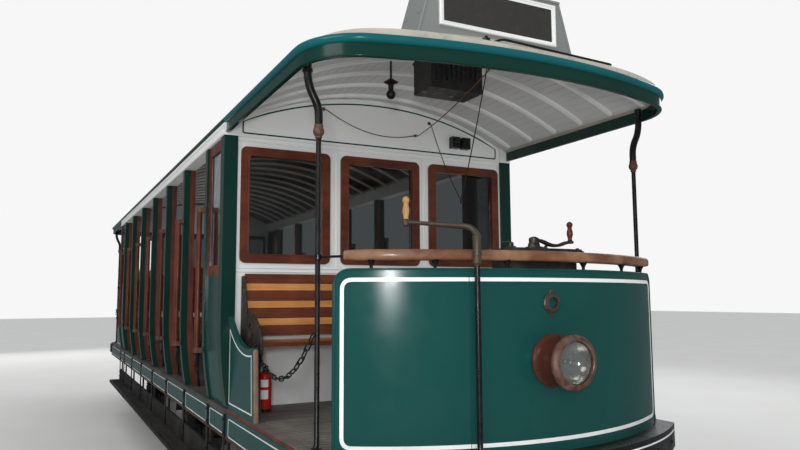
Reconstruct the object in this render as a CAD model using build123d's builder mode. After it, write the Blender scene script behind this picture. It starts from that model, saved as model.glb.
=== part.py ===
from build123d import *
from math import cos, hypot, pi, radians, sin, sqrt, tan
import os

os.makedirs("parts", exist_ok=True)

# Open-sided four-wheel electric tram, millimetres.
# X runs across the car, Y along it (the photographed end is at -Y), Z is up.
# The origin is on the ground under the middle of the car, level with the lowest points of the flanges.

# Body plan
bay = 865                  # entrance bay, from post to post
bay_count = 6
end_bay = 505              # last entrance post to the bulkhead's outer face
half_width = 1100          # outer face of the posts above the waist
foot_half = 1052           # outer face of the posts at the floor
waist_z = 1400             # below this the side curves in towards the floor
seat_gap = 0.3             # clearance where two pieces are seated on each other
board = 28                 # panel and sheathing boards

# Heights
floor_top = 885
floor_thick = 25
cantrail_z = 2585          # top of the side openings

# Roof
roof_crown = 2981
roof_radius = 2190
roof_thick = 36
eave_half = 1070
canopy_reach = 1790        # roof edge ahead of the bulkhead
canopy_bow_radius = 3000
canopy_corner = 300
canopy_full = 1040         # the full arch ends here and the hood slopes down ahead of it
fascia_thick = 20
fascia_bottom = 2600
fascia_top = 2704
moulding_radius = 20
rib_depth = 22
rib_width = 30

# Posts
post_length = 65           # along the car
corner_post_length = 93
corner_post_lead = 20      # corner post ahead of the bulkhead's outer face
post_depth = 47            # green outer part
lining_depth = 40          # mahogany inner part

# Platforms
dash_reach = 1500          # dash edges ahead of the bulkhead
dash_bow = 310             # how far the dash bulges ahead of its edges
dash_half = 955
dash_top = 1680
dash_sheet = 5
dash_corner = 70
bumper_half = 1060
bumper_under = 60          # bumper's inner face behind the dash
bumper_ahead = 95          # bumper's outer face ahead of the dash
bumper_bottom = 735
rail_low = 1722
rail_thick = 40
rail_width = 80
rail_ahead = 15            # rail's outer edge ahead of the dash

# Bulkheads
bulkhead_thick = 45
window_width = 609         # outer width of a sash
window_gap = 77
window_bottom = 1777
window_top = 2524
sash_face = 55
sash_corner = 40
sash_proud = 14
pane_thick = 6

# Benches
seat_height = 415          # above the floor
seat_depth = 420
seat_half = 975
slat_width = 58
slat_thick = 20
slat_count = 6
iron_thick = 14
back_pivot = 250           # above the floor
back_lean = 20             # degrees from upright at either stop
back_reach = 720           # from the pivot to the top of the back
back_low = 330             # from the pivot to the lowest slat
back_slats = 5
back_slat_width = 62
back_slat_thick = 18
arm_thick = 8
arm_width = 34
arm_gap = 5                # arm clear of the bench iron
pin_radius = 9

# Running gear
wheel_base = 2300
tread_radius = 381
flange_height = 25
wheel_back = 680           # from the middle of the car to the wheel's inner face
wheel_rim = 125
flange_width = 32
axle_radius = 55
journal_radius = 50
journal_length = 145
running_gap = 0.05         # radial clearance of a shaft in its bearing
frame_x = 900              # middle of a truck side frame
frame_half = 1810          # truck frame's ends from mid-car
frame_thick = 40

# Trolley
plank_thick = 55
boss_tall = 50
stand_rise = 110           # pole's pivot above the boss
pole_length = 3900
pole_rise = 6              # degrees above level when hooked down

half_body = bay * bay_count / 2 + end_bay
floor_under = floor_top - floor_thick
side_depth = post_depth + lining_depth
side_inner = half_width - side_depth
dash_edge_y = half_body + dash_reach
dash_front_y = dash_edge_y + dash_bow
dash_radius = (dash_half**2 + dash_bow**2) / (2 * dash_bow)
dash_centre_y = dash_front_y - dash_radius
bumper_top = floor_under - seat_gap
dash_bottom = floor_under
seat_z = floor_top + seat_height
axle_z = tread_radius + flange_height
post_places = [bay * (n - bay_count / 2) for n in range(bay_count + 1)]
bench_places = post_places[1:-1]
wheel_places = (-wheel_base / 2, wheel_base / 2)
corner_middle = half_body + corner_post_lead - corner_post_length / 2


def roof_z(x):
    return roof_crown - roof_radius + sqrt(roof_radius**2 - x**2)


def ceiling_z(x):
    return roof_z(x) - roof_thick


def bow_y(radius, x):
    """Distance from the middle of the car to a bow of this radius about the dash's centre."""
    return dash_centre_y + sqrt(radius**2 - x**2)


def side_curve(depth, low, high):
    """The side's outer line, set in by depth: straight above the waist, curving in below it."""
    top = Line((half_width - depth, high), (half_width - depth, waist_z))
    bend = TangentArc((half_width - depth, waist_z), (foot_half - depth, low), tangent=(0, -1))
    return top, bend


def side_section(near, far, low, high):
    """Closed section of the side between two depths behind its outer line."""
    with BuildLine() as outline:
        near_top, near_bend = side_curve(near, low, high)
        far_top, far_bend = side_curve(far, low, high)
        Line(near_top @ 0, far_top @ 0)
        Line(near_bend @ 1, far_bend @ 1)
    return outline.line


def bow_band(outer_radius, inner_radius, half):
    """Closed plan of a band between two bows, at the -Y end."""
    with BuildLine() as outline:
        outer = ThreePointArc((-half, -bow_y(outer_radius, half)), (0, -bow_y(outer_radius, 0)),
                              (half, -bow_y(outer_radius, half)))
        inner = ThreePointArc((half, -bow_y(inner_radius, half)), (0, -bow_y(inner_radius, 0)),
                              (-half, -bow_y(inner_radius, half)))
        Line(outer @ 1, inner @ 0)
        Line(inner @ 1, outer @ 0)
    return outline.line


def save(piece, name):
    piece.part.label = name
    export_step(piece.part, "parts/" + name + ".step")


# Floors
floor_half = foot_half + 12
with BuildPart() as floor:
    with Locations((0, 0, floor_under)):
        Box(2 * floor_half, 2 * half_body, floor_thick, align=(Align.CENTER, Align.CENTER, Align.MIN))
save(floor, "floor")

# Platform floors: boards with grooves along the car, ending behind the bowed dash
groove_pitch = 60
groove_width = 12
groove_deep = 8
groove_count = 29
groove_margin = 60
with BuildPart() as platform_floors:
    with BuildSketch(Plane.XY.offset(floor_under)):
        with BuildLine():
            reach = dash_radius - dash_sheet - seat_gap
            bow = ThreePointArc((-foot_half, -bow_y(reach, foot_half)), (0, -bow_y(reach, 0)),
                                (foot_half, -bow_y(reach, foot_half)))
            Polyline(bow @ 1, (foot_half, -half_body - seat_gap), (-foot_half, -half_body - seat_gap), bow @ 0)
        make_face()
    extrude(amount=floor_thick)
    with BuildSketch(Plane.XY.offset(floor_top)):
        with Locations((0, -half_body - dash_reach / 2)):
            with GridLocations(groove_pitch, 0, groove_count, 1):
                Rectangle(groove_width, dash_reach - 2 * groove_margin)
    extrude(amount=-groove_deep, mode=Mode.SUBTRACT)
    mirror(about=Plane.XZ)
save(platform_floors, "platform_floors")

# Sills and underframe
sill_thick = 32
sill_low = 700
bumper_inner = dash_radius - bumper_under
bumper_outer = dash_radius + bumper_ahead
sill_end = bow_y(bumper_inner, foot_half) - seat_gap
with BuildPart() as side_sills:
    with Locations((foot_half - sill_thick / 2, 0, sill_low)):
        Box(sill_thick, 2 * sill_end, bumper_top - sill_low, align=(Align.CENTER, Align.CENTER, Align.MIN))
    mirror(about=Plane.YZ)
save(side_sills, "side_sills")

runner_x = 520
runner_width = 80
runner_end = bow_y(bumper_inner, runner_x + runner_width / 2) - seat_gap
cross_width = 90
cross_low = sill_low + 40
spring_inset = 60          # end springs from the truck frame's ends
truck_seats = (spring_inset - frame_half, -550, 550, frame_half - spring_inset)     # beams on the truck's springs
cross_places = (-4350, -3400, -2500) + truck_seats + (2500, 3400, 4350)
cross_half = foot_half - sill_thick - seat_gap
cross_inner = runner_x - runner_width / 2 - seat_gap
cross_outer = runner_x + runner_width / 2 + seat_gap
with BuildPart() as underframe:
    with Locations((runner_x, 0, sill_low), (-runner_x, 0, sill_low)):
        Box(runner_width, 2 * runner_end, bumper_top - sill_low, align=(Align.CENTER, Align.CENTER, Align.MIN))
    with Locations(*[(0, y, cross_low) for y in cross_places]):
        Box(2 * cross_inner, cross_width, bumper_top - cross_low, align=(Align.CENTER, Align.CENTER, Align.MIN))
    with Locations(*[(cross_outer, y, cross_low) for y in cross_places]):
        Box(cross_half - cross_outer, cross_width, bumper_top - cross_low, align=(Align.MIN, Align.CENTER, Align.MIN))
    with Locations(*[(-cross_outer, y, cross_low) for y in cross_places]):
        Box(cross_half - cross_outer, cross_width, bumper_top - cross_low, align=(Align.MAX, Align.CENTER, Align.MIN))
save(underframe, "underframe")

# Bumpers: a bowed beam under each dash, with a coupling pocket below its middle
coupling_pin = 15
pin_way = 3                # the pin drops through the bumper with this much room
pin_back = 60              # pin behind the bumper's front
pocket_y = bow_y(bumper_outer, 0) - pin_back
with BuildPart() as bumpers:
    with BuildSketch(Plane.XY.offset(bumper_bottom)):
        with BuildLine():
            add(bow_band(bumper_outer, bumper_inner, bumper_half))
        make_face()
        with Locations((0, -pocket_y)):
            Circle(coupling_pin + pin_way, mode=Mode.SUBTRACT)
    extrude(amount=bumper_top - bumper_bottom)
    mirror(about=Plane.XZ)
save(bumpers, "bumpers")

pocket_half = 90
pocket_deep = 200
pocket_mouth = 60
pocket_lip = 22
pocket_web = 30
pocket_top = bumper_bottom - seat_gap
pocket_tall = pocket_mouth + 2 * pocket_lip
with BuildPart() as coupling_pockets:
    with BuildSketch(Plane.XY.offset(pocket_top)):
        with Locations((0, -pocket_y)):
            Circle(pocket_half)
        with Locations((0, -pocket_y)):
            Rectangle(2 * pocket_half, pocket_deep, align=(Align.CENTER, Align.MIN))
    extrude(amount=-pocket_tall)
    with Locations((0, -pocket_y + pocket_deep - pocket_web, pocket_top - pocket_lip)):
        Box(3 * pocket_half, 2 * pocket_deep, pocket_mouth, align=(Align.CENTER, Align.MAX, Align.MAX),
            mode=Mode.SUBTRACT)
    with Locations((0, -pocket_y, pocket_top)):
        Hole(coupling_pin)
    mirror(about=Plane.XZ)
save(coupling_pockets, "coupling_pockets")

# Posts: green outside, mahogany inside; the corner posts are green all through
with BuildPart() as posts:
    for middle, length, far in ([(y, post_length, post_depth) for y in post_places]
                                + [(y, corner_post_length, side_depth) for y in (-corner_middle, corner_middle)]):
        with BuildSketch(Plane.XZ.offset(-middle - length / 2)):
            with BuildLine():
                add(side_section(0, far, floor_top, cantrail_z))
            make_face()
        extrude(amount=length)
    mirror(about=Plane.YZ)
save(posts, "posts")

with BuildPart() as post_linings:
    for middle in post_places:
        with BuildSketch(Plane.XZ.offset(-middle - post_length / 2)):
            with BuildLine():
                add(side_section(post_depth + seat_gap, side_depth, floor_top, cantrail_z))
            make_face()
        extrude(amount=post_length)
    mirror(about=Plane.YZ)
save(post_linings, "post_linings")

# Letterboards close the side above the openings, up to the ceiling's curve
board_face = half_width + 3
board_low = cantrail_z + seat_gap
board_high = fascia_top - 2 * moulding_radius - seat_gap     # under the moulding along the eaves
with BuildPart() as letterboards:
    with BuildSketch(Plane.XZ):
        Polygon((side_inner, board_low), (board_face, board_low), (board_face, board_high), (eave_half, board_high),
                (side_inner, ceiling_z(side_inner) - seat_gap), align=None)
    extrude(amount=half_body + corner_post_lead, both=True)
    mirror(about=Plane.YZ)
save(letterboards, "letterboards")

# Roof: a plain arch that ends in a bowed hood over each platform
hood_steps = 5
hood_front = 0.04          # share of the arch's rise left at the front edge
arch_foot = 2300
arch_half = eave_half + 60
eave_z = roof_z(eave_half)


def hood_z(x, crown):
    """Height at x of an arc that meets the eaves' level at the eaves and has its crown at this height."""
    radius = (eave_half**2 + (crown - eave_z)**2) / (2 * (crown - eave_z))
    return crown - radius + sqrt(radius**2 - x**2)


def arch_mass(drop):
    """Everything under the roof's outer face lowered by drop, from just past mid-car to the -Y canopy's front."""
    with BuildPart() as mass:
        for step in range(hood_steps + 1):
            share = hood_front + (1 - hood_front) * cos(radians(90 * step / hood_steps))
            crown = eave_z + share * (roof_crown - eave_z)
            reach = half_body + canopy_full + step / hood_steps * (canopy_reach + 30 - canopy_full)
            with BuildSketch(Plane.XZ.offset(reach)):
                with BuildLine():
                    edge = hood_z(arch_half, crown) - drop
                    arc = ThreePointArc((-arch_half, edge), (0, crown - drop), (arch_half, edge))
                    Polyline(arc @ 1, (arch_half, arch_foot), (-arch_half, arch_foot), arc @ 0)
                make_face()
        loft()
        with BuildSketch(Plane.XZ.offset(half_body + canopy_full)):
            with BuildLine():
                edge = hood_z(arch_half, roof_crown) - drop
                arc = ThreePointArc((-arch_half, edge), (0, roof_crown - drop), (arch_half, edge))
                Polyline(arc @ 1, (arch_half, arch_foot), (-arch_half, arch_foot), arc @ 0)
            make_face()
        extrude(amount=-half_body - canopy_full - 100)
    return mass.part


def canopy_outline(spread):
    """Plan of the -Y canopy's edge, from the middle of the car: straight sides and a bowed front."""
    half = eave_half + spread
    radius = canopy_bow_radius + spread
    front = half_body + canopy_reach + spread
    corner_y = front - radius + sqrt(radius**2 - half**2)
    with BuildSketch() as plan:
        with BuildLine():
            bow = ThreePointArc((-half, -corner_y), (0, -front), (half, -corner_y))
            Polyline(bow @ 1, (half, 0), (-half, 0), bow @ 0)
        make_face()
        fillet(plan.vertices().group_by(Axis.Y)[0], canopy_corner + spread)
    return plan.sketch


roof_mass = arch_mass(0)
ceiling_mass = arch_mass(roof_thick)
rib_mass = arch_mass(roof_thick + seat_gap)
rib_under = arch_mass(roof_thick + rib_depth)

with BuildPart() as roof:
    with BuildSketch(Plane.XY.offset(arch_foot + 10)):
        add(canopy_outline(0))
    extrude(amount=roof_crown)
    add(roof_mass, mode=Mode.INTERSECT)
    add(ceiling_mass, mode=Mode.SUBTRACT)
    mirror(about=Plane.XZ)
save(roof, "roof")

rib_pitch = bay / 3
canopy_rib_first = 130
canopy_rib_pitch = 266
canopy_rib_count = 6
rib_half = side_inner - seat_gap
body_ribs = [rib_pitch * n for n in range(10)]
canopy_ribs = [half_body + canopy_rib_first + canopy_rib_pitch * n for n in range(canopy_rib_count)]
with BuildPart() as ceiling_ribs:
    with Locations(*[(0, -y, arch_foot + 10) for y in body_ribs + canopy_ribs]):
        Box(2 * rib_half, rib_width, roof_crown - arch_foot, align=(Align.CENTER, Align.CENTER, Align.MIN))
    add(rib_mass, mode=Mode.INTERSECT)
    add(rib_under, mode=Mode.SUBTRACT)
    mirror(about=Plane.XZ)
save(ceiling_ribs, "ceiling_ribs")

rim_start = half_body + corner_post_lead + seat_gap
with BuildPart() as canopy_fascias:
    with BuildSketch(Plane.XY.offset(fascia_bottom)):
        add(canopy_outline(fascia_thick))
        add(canopy_outline(seat_gap), mode=Mode.SUBTRACT)
        Rectangle(3 * eave_half, 2 * rim_start, mode=Mode.SUBTRACT)
    extrude(amount=fascia_top - fascia_bottom)
    mirror(about=Plane.XZ)
save(canopy_fascias, "canopy_fascias")

with BuildPart() as canopy_mouldings:
    with BuildSketch(Plane.XY.offset(fascia_top - 2 * moulding_radius)):
        add(canopy_outline(fascia_thick + moulding_radius))
        add(canopy_outline(fascia_thick + seat_gap), mode=Mode.SUBTRACT)
        Rectangle(3 * eave_half, 2 * rim_start, mode=Mode.SUBTRACT)
    extrude(amount=2 * moulding_radius)
    mirror(about=Plane.XZ)
    with BuildSketch(Plane.XY.offset(fascia_top - 2 * moulding_radius)):
        Rectangle(2 * (eave_half + fascia_thick + moulding_radius), 2 * rim_start)
        Rectangle(2 * (eave_half + seat_gap), 2 * rim_start, mode=Mode.SUBTRACT)
    extrude(amount=2 * moulding_radius)
save(canopy_mouldings, "canopy_mouldings")

# Bulkheads with three windows
window_pitch = window_width + window_gap
window_mid = (window_bottom + window_top) / 2
window_tall = window_top - window_bottom
sash_lap = 10              # how far a sash's face laps over the bulkhead
with BuildPart() as bulkheads:
    with BuildSketch(Plane.XZ.offset(half_body)):
        with BuildLine():
            arch = ThreePointArc((0, ceiling_z(0) - seat_gap),
                                 (rib_half / 2, ceiling_z(rib_half / 2) - seat_gap),
                                 (rib_half, ceiling_z(rib_half) - seat_gap))
            side_top, side_bend = side_curve(side_depth + seat_gap, floor_top, ceiling_z(rib_half) - seat_gap)
            Polyline(side_bend @ 1, (0, floor_top), (0, ceiling_z(0) - seat_gap))
        make_face()
        mirror(about=Plane.YZ)
        with Locations((0, window_mid)):
            with GridLocations(window_pitch, 0, 3, 1):
                RectangleRounded(window_width - 2 * sash_lap, window_tall - 2 * sash_lap, sash_corner,
                                 mode=Mode.SUBTRACT)
    extrude(amount=-bulkhead_thick)
    mirror(about=Plane.XZ)
save(bulkheads, "bulkheads")

# Quarter panels fill the closed end bays; wings shield the platform benches
panel_low = corner_middle - corner_post_length / 2 - seat_gap
panel_high = post_places[-1] + post_length / 2 + seat_gap
panel_inset = 12
quarter_top = 1700
wing_reach = 600
wing_front_tall = 400
wing_back_tall = 560
wing_start = half_body + corner_post_lead + seat_gap
wing_rake = 30
wing_sweep = 620           # radius of the hollow in the wing's top
with BuildPart() as quarter_panels:
    with BuildSketch(Plane.XZ.offset(panel_high)):
        with BuildLine():
            add(side_section(panel_inset, panel_inset + board, floor_top, quarter_top))
        make_face()
    extrude(amount=panel_low - panel_high)
    with BuildSketch(Plane.YZ.offset(foot_half - board - 4)):
        with BuildLine():
            front = -half_body - wing_reach
            Polyline((-wing_start, floor_top + wing_back_tall), (-wing_start, floor_top), (front, floor_top),
                     (front + wing_rake, floor_top + wing_front_tall))
            RadiusArc((front + wing_rake, floor_top + wing_front_tall), (-wing_start, floor_top + wing_back_tall),
                      -wing_sweep)
        make_face()
    extrude(amount=board)
    mirror(about=Plane.YZ)
    mirror(about=Plane.XZ)
save(quarter_panels, "quarter_panels")


# Sashes: three across each bulkhead and one in each closed end bay
quarter_stile = 55
quarter_rail = 70
sash_low = quarter_top + seat_gap
quarter_span = panel_low - panel_high
quarter_tall = cantrail_z - sash_low - seat_gap
with BuildPart() as window_sashes:
    with BuildSketch(Plane.XZ.offset(half_body + seat_gap)):
        with Locations((0, window_mid)):
            with GridLocations(window_pitch, 0, 3, 1):
                RectangleRounded(window_width, window_tall, sash_corner)
    extrude(amount=sash_proud - seat_gap)
    with BuildSketch(Plane.XZ.offset(half_body + sash_proud)):
        with Locations((0, window_mid)):
            with GridLocations(window_pitch, 0, 3, 1):
                RectangleRounded(window_width - 2 * sash_lap - 2 * seat_gap,
                                 window_tall - 2 * sash_lap - 2 * seat_gap, sash_corner - seat_gap)
    extrude(amount=-sash_proud - bulkhead_thick)
    with BuildSketch(Plane.XZ.offset(half_body + sash_proud)):
        with Locations((0, window_mid)):
            with GridLocations(window_pitch, 0, 3, 1):
                RectangleRounded(window_width - 2 * sash_face, window_tall - 2 * sash_face, sash_corner / 2)
    extrude(amount=-sash_proud - bulkhead_thick, mode=Mode.SUBTRACT)
    with BuildSketch(Plane.YZ.offset(half_width - panel_inset - board)):
        with Locations(((panel_low + panel_high) / 2, (sash_low + cantrail_z) / 2)):
            Rectangle(quarter_span, quarter_tall)
            Rectangle(quarter_span - 2 * quarter_stile, quarter_tall - 2 * quarter_rail, mode=Mode.SUBTRACT)
    extrude(amount=board)
    mirror(about=Plane.YZ)
    mirror(about=Plane.XZ)
save(window_sashes, "window_sashes")

with BuildPart() as window_panes:
    with BuildSketch(Plane.XZ.offset(half_body - bulkhead_thick / 2)):
        with Locations((0, window_mid)):
            with GridLocations(window_pitch, 0, 3, 1):
                RectangleRounded(window_width - 2 * sash_face - 2 * seat_gap,
                                 window_tall - 2 * sash_face - 2 * seat_gap, sash_corner / 2)
    extrude(amount=-pane_thick)
    with BuildSketch(Plane.YZ.offset(half_width - panel_inset - board / 2)):
        with Locations(((panel_low + panel_high) / 2, (sash_low + cantrail_z) / 2)):
            Rectangle(quarter_span - 2 * quarter_stile - 2 * seat_gap, quarter_tall - 2 * quarter_rail - 2 * seat_gap)
    extrude(amount=pane_thick / 2, both=True)
    mirror(about=Plane.YZ)
    mirror(about=Plane.XZ)
save(window_panes, "window_panes")

# Grab handles on the posts' outer faces, one for each bay that a post borders
handle_low = 1225
handle_high = 2150
handle_radius = 18
handle_stand = 34
handle_gap = 46
handle_x = half_width + handle_stand
handle_places = [y + side * handle_gap / 2 for y in post_places for side in (-1, 1)][1:-1]
with BuildPart() as grab_handles:
    with BuildSketch(Plane.XY.offset(handle_low)):
        with Locations(*[(handle_x, y) for y in handle_places]):
            Circle(handle_radius)
    extrude(amount=handle_high - handle_low)
    mirror(about=Plane.YZ)
save(grab_handles, "grab_handles")

# Brackets stand on the post and cap the ends of its handles
bracket_tall = 34
bracket_half = handle_radius + 4
with BuildPart() as handle_brackets:
    for level in (handle_low - bracket_tall - seat_gap, handle_high + seat_gap):
        foot = half_width + seat_gap
        with BuildSketch(Plane.XY.offset(level)):
            with Locations(*[(handle_x, y) for y in handle_places]):
                Circle(bracket_half)
            with Locations(*[(foot, y) for y in handle_places]):
                Rectangle(handle_stand, 2 * bracket_half, align=(Align.MIN, Align.CENTER))
        extrude(amount=bracket_tall)
    mirror(about=Plane.YZ)
save(handle_brackets, "handle_brackets")

# Bench seats: slats across the car; the two against the bulkheads have fixed slatted backs
arm_x = seat_half + 12
iron_x = arm_x - arm_thick / 2 - arm_gap - iron_thick / 2
slat_step = (seat_depth - slat_width) / (slat_count - 1)
slat_steps = [-seat_depth / 2 + slat_width / 2 + n * slat_step for n in range(slat_count)]
fixed_back_gap = 12
fixed_back_y = half_body - bulkhead_thick - fixed_back_gap
end_bench_y = fixed_back_y - back_slat_thick - seat_depth / 2 - 5
seat_rows = bench_places + [-end_bench_y, end_bench_y]
fixed_slats = [floor_top + 500 + n * 90 for n in range(back_slats)]
with BuildPart() as bench_seats:
    with Locations(*[(0, row + step, seat_z) for row in seat_rows for step in slat_steps]):
        Box(2 * seat_half, slat_width, slat_thick, align=(Align.CENTER, Align.CENTER, Align.MAX))
    with Locations(*[(0, -fixed_back_y, z) for z in fixed_slats]):
        Box(2 * seat_half, back_slat_thick, back_slat_width, align=(Align.CENTER, Align.MIN, Align.MIN))
    with Locations(*[(0, fixed_back_y, z) for z in fixed_slats]):
        Box(2 * seat_half, back_slat_thick, back_slat_width, align=(Align.CENTER, Align.MAX, Align.MIN))
save(bench_seats, "bench_seats")

# Bench irons: a waisted casting with splayed legs at each end and in the middle of a bench
iron_top = seat_z - slat_thick - seat_gap
iron_waist = 110
iron_foot = 170
iron_arch = 150
iron_flange = 45
iron_leg = 60
with BuildPart() as bench_irons:
    for row in seat_rows:
        for x in (-iron_x, 0, iron_x):
            with BuildSketch(Plane.YZ.offset(x - iron_thick / 2)):
                with BuildLine():
                    rim = seat_depth / 2
                    right_leg = ThreePointArc((row + iron_foot, floor_top), (row + iron_waist, floor_top + 210),
                                              (row + rim, iron_top - iron_flange))
                    left_leg = ThreePointArc((row - rim, iron_top - iron_flange), (row - iron_waist, floor_top + 210),
                                             (row - iron_foot, floor_top))
                    Polyline(right_leg @ 1, (row + rim, iron_top), (row - rim, iron_top), left_leg @ 0)
                    arch = ThreePointArc((row - iron_foot + iron_leg, floor_top), (row, floor_top + iron_arch),
                                         (row + iron_foot - iron_leg, floor_top))
                    Line(left_leg @ 1, arch @ 0)
                    Line(arch @ 1, right_leg @ 0)
                make_face()
                with Locations((row, floor_top + back_pivot)):
                    Circle(pin_radius + running_gap, mode=Mode.SUBTRACT)
            extrude(amount=iron_thick)
    for y in (-fixed_back_y, fixed_back_y):
        toward = Align.MIN if y < 0 else Align.MAX
        with Locations(*[(x, y + (-fixed_back_gap if y < 0 else fixed_back_gap), fixed_slats[0]) for x in (-600, 0, 600)]):
            Box(40, fixed_back_gap - seat_gap, fixed_slats[-1] - fixed_slats[0] + back_slat_width,
                align=(Align.CENTER, toward, Align.MIN))
save(bench_irons, "bench_irons")

# Reversible seat backs: two arms on pivots carry a slatted panel
back_step = (back_reach - back_low - back_slat_width) / (back_slats - 1)
arm_tail = 20
pin_length = arm_gap + iron_thick + arm_thick
for number, row in enumerate(bench_places, 1):
    pivot = Vector(0, row, floor_top + back_pivot)
    tilt = Plane(origin=pivot, x_dir=(1, 0, 0), z_dir=(0, -cos(radians(back_lean)), sin(radians(back_lean))))
    with BuildPart() as seat_back:
        with BuildSketch(tilt.offset(-arm_width / 2)):
            with Locations((-arm_x, -arm_tail), (arm_x, -arm_tail)):
                Rectangle(arm_thick, back_reach + arm_tail, align=(Align.CENTER, Align.MIN))
        extrude(amount=arm_width)
        with BuildSketch(tilt.offset(-back_slat_thick / 2)):
            with Locations(*[(0, back_low + n * back_step) for n in range(back_slats)]):
                Rectangle(2 * arm_x, back_slat_width, align=(Align.CENTER, Align.MIN))
        extrude(amount=back_slat_thick)
        with Locations(Plane.YZ.offset(arm_x + arm_thick / 2)):
            with Locations((row, floor_top + back_pivot, 0)):
                Cylinder(pin_radius, pin_length, align=(Align.CENTER, Align.CENTER, Align.MAX))
        with Locations(Plane.YZ.offset(-arm_x - arm_thick / 2)):
            with Locations((row, floor_top + back_pivot, 0)):
                Cylinder(pin_radius, pin_length, align=(Align.CENTER, Align.CENTER, Align.MIN))
    save(seat_back, "seat_back_" + str(number))

# Platform benches: broad red and narrow yellow slats against each bulkhead
red_width = 58
yellow_width = 43
stripe_gap = 4
bench_lean = 8
bench_half = 962
bench_slat = 18
bench_foot_y = half_body + 92
back_start = seat_z + 24
lean_plane = Plane(origin=(0, -bench_foot_y, back_start), x_dir=(1, 0, 0),
                   z_dir=(0, -cos(radians(bench_lean)), sin(radians(bench_lean))))
stripe = red_width + yellow_width + 2 * stripe_gap
red_backs = [n * stripe for n in range(4)]
yellow_backs = [red_width + stripe_gap + n * stripe for n in range(3)]
seat_slat_pitch = 64
seat_slat_width = 60
yellow_seats = (0, 1, 3)
red_seats = (2, 4, 5)
with BuildPart() as platform_slats_red:
    with BuildSketch(lean_plane):
        with Locations(*[(0, low) for low in red_backs]):
            Rectangle(2 * bench_half, red_width, align=(Align.CENTER, Align.MIN))
    extrude(amount=bench_slat)
    with Locations(*[(0, -bench_foot_y - seat_slat_pitch * n, seat_z) for n in red_seats]):
        Box(2 * bench_half, seat_slat_width, slat_thick, align=(Align.CENTER, Align.MAX, Align.MAX))
    mirror(about=Plane.XZ)
save(platform_slats_red, "platform_slats_red")

with BuildPart() as platform_slats_yellow:
    with BuildSketch(lean_plane):
        with Locations(*[(0, low) for low in yellow_backs]):
            Rectangle(2 * bench_half, yellow_width, align=(Align.CENTER, Align.MIN))
    extrude(amount=bench_slat)
    with Locations(*[(0, -bench_foot_y - seat_slat_pitch * n, seat_z) for n in yellow_seats]):
        Box(2 * bench_half, seat_slat_width, slat_thick, align=(Align.CENTER, Align.MAX, Align.MAX))
    mirror(about=Plane.XZ)
save(platform_slats_yellow, "platform_slats_yellow")

# Cast ends of the platform benches: a leg below the seat and a scrolled arm above it
end_iron_x = bench_half + seat_gap
heel = -half_body - corner_post_lead - seat_gap
scroll_reach = 460
with BuildPart() as platform_irons:
    with BuildSketch(Plane.YZ.offset(end_iron_x)):
        with BuildLine():
            back_edge = Polyline((heel, floor_top), (heel, 1692), (heel - 50, 1692), (heel - 95, 1560),
                                 (heel - 120, 1455))
            scroll = ThreePointArc((heel - 120, 1455), (heel - 310, 1440), (heel - scroll_reach, 1300))
            front = Polyline((heel - scroll_reach, 1300), (heel - scroll_reach, 1262), (heel - 380, 1100),
                             (heel - 440, floor_top), (heel - 340, floor_top))
            arch = ThreePointArc((heel - 340, floor_top), (heel - 215, 1120), (heel - 90, floor_top))
            Line((heel - 90, floor_top), (heel, floor_top))
        make_face()
        with Locations((heel - 230, 1360)):
            Circle(55, mode=Mode.SUBTRACT)
    extrude(amount=iron_thick)
    mirror(about=Plane.YZ)
    mirror(about=Plane.XZ)
save(platform_irons, "platform_irons")

# Dashes: bowed sheets with rounded top corners, trimmed from a larger sheet
dash_trim = 20
with BuildPart() as dashes:
    with BuildSketch(Plane.XY.offset(dash_bottom)):
        with BuildLine():
            add(bow_band(dash_radius, dash_radius - dash_sheet, dash_half + dash_trim))
        make_face()
    extrude(amount=dash_top + dash_trim - dash_bottom)
    with BuildSketch(Plane.XZ.offset(half_body)):
        with Locations((0, dash_top)):
            RectangleRounded(2 * dash_half, 2 * (dash_top - dash_bottom), dash_corner, align=(Align.CENTER, Align.MAX))
    extrude(amount=2 * dash_reach, mode=Mode.INTERSECT)
    mirror(about=Plane.XZ)
save(dashes, "dashes")

# Canopy poles stand behind the dash edges; the wooden rails run between them
pole_x = 984
pole_y = half_body + 1390
pole_radius = 12
pole_head_radius = 19
pole_ball_radius = 26
ball_z = 2316
pole_top_x = 1040
pole_top_z = ceiling_z(eave_half) - seat_gap
with BuildPart() as canopy_poles:
    with Locations((pole_x, -pole_y, floor_top)):
        Cylinder(pole_radius, ball_z - floor_top, align=(Align.CENTER, Align.CENTER, Align.MIN))
    with Locations((pole_x, -pole_y, ball_z)):
        Sphere(pole_ball_radius)
    with BuildLine() as neck:
        FilletPolyline((pole_x, -pole_y, ball_z), (pole_x, -pole_y, ball_z + 110),
                       (pole_top_x, -pole_y, ball_z + 215), (pole_top_x, -pole_y, pole_top_z), radius=60)
    with BuildSketch(Plane((pole_x, -pole_y, ball_z))):
        Circle(pole_head_radius)
    sweep(path=neck.line)
    mirror(about=Plane.YZ)
    mirror(about=Plane.XZ)
save(canopy_poles, "canopy_poles")

rail_outer = dash_radius + rail_ahead
rail_half = dash_half - 50
rail_high = rail_low + rail_thick
with BuildPart() as dash_rails:
    with BuildSketch(Plane.XY.offset(rail_low)):
        with BuildLine():
            add(bow_band(rail_outer, rail_outer - rail_width, rail_half))
        make_face()
    extrude(amount=rail_thick)
    mirror(about=Plane.XZ)
save(dash_rails, "dash_rails")

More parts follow.
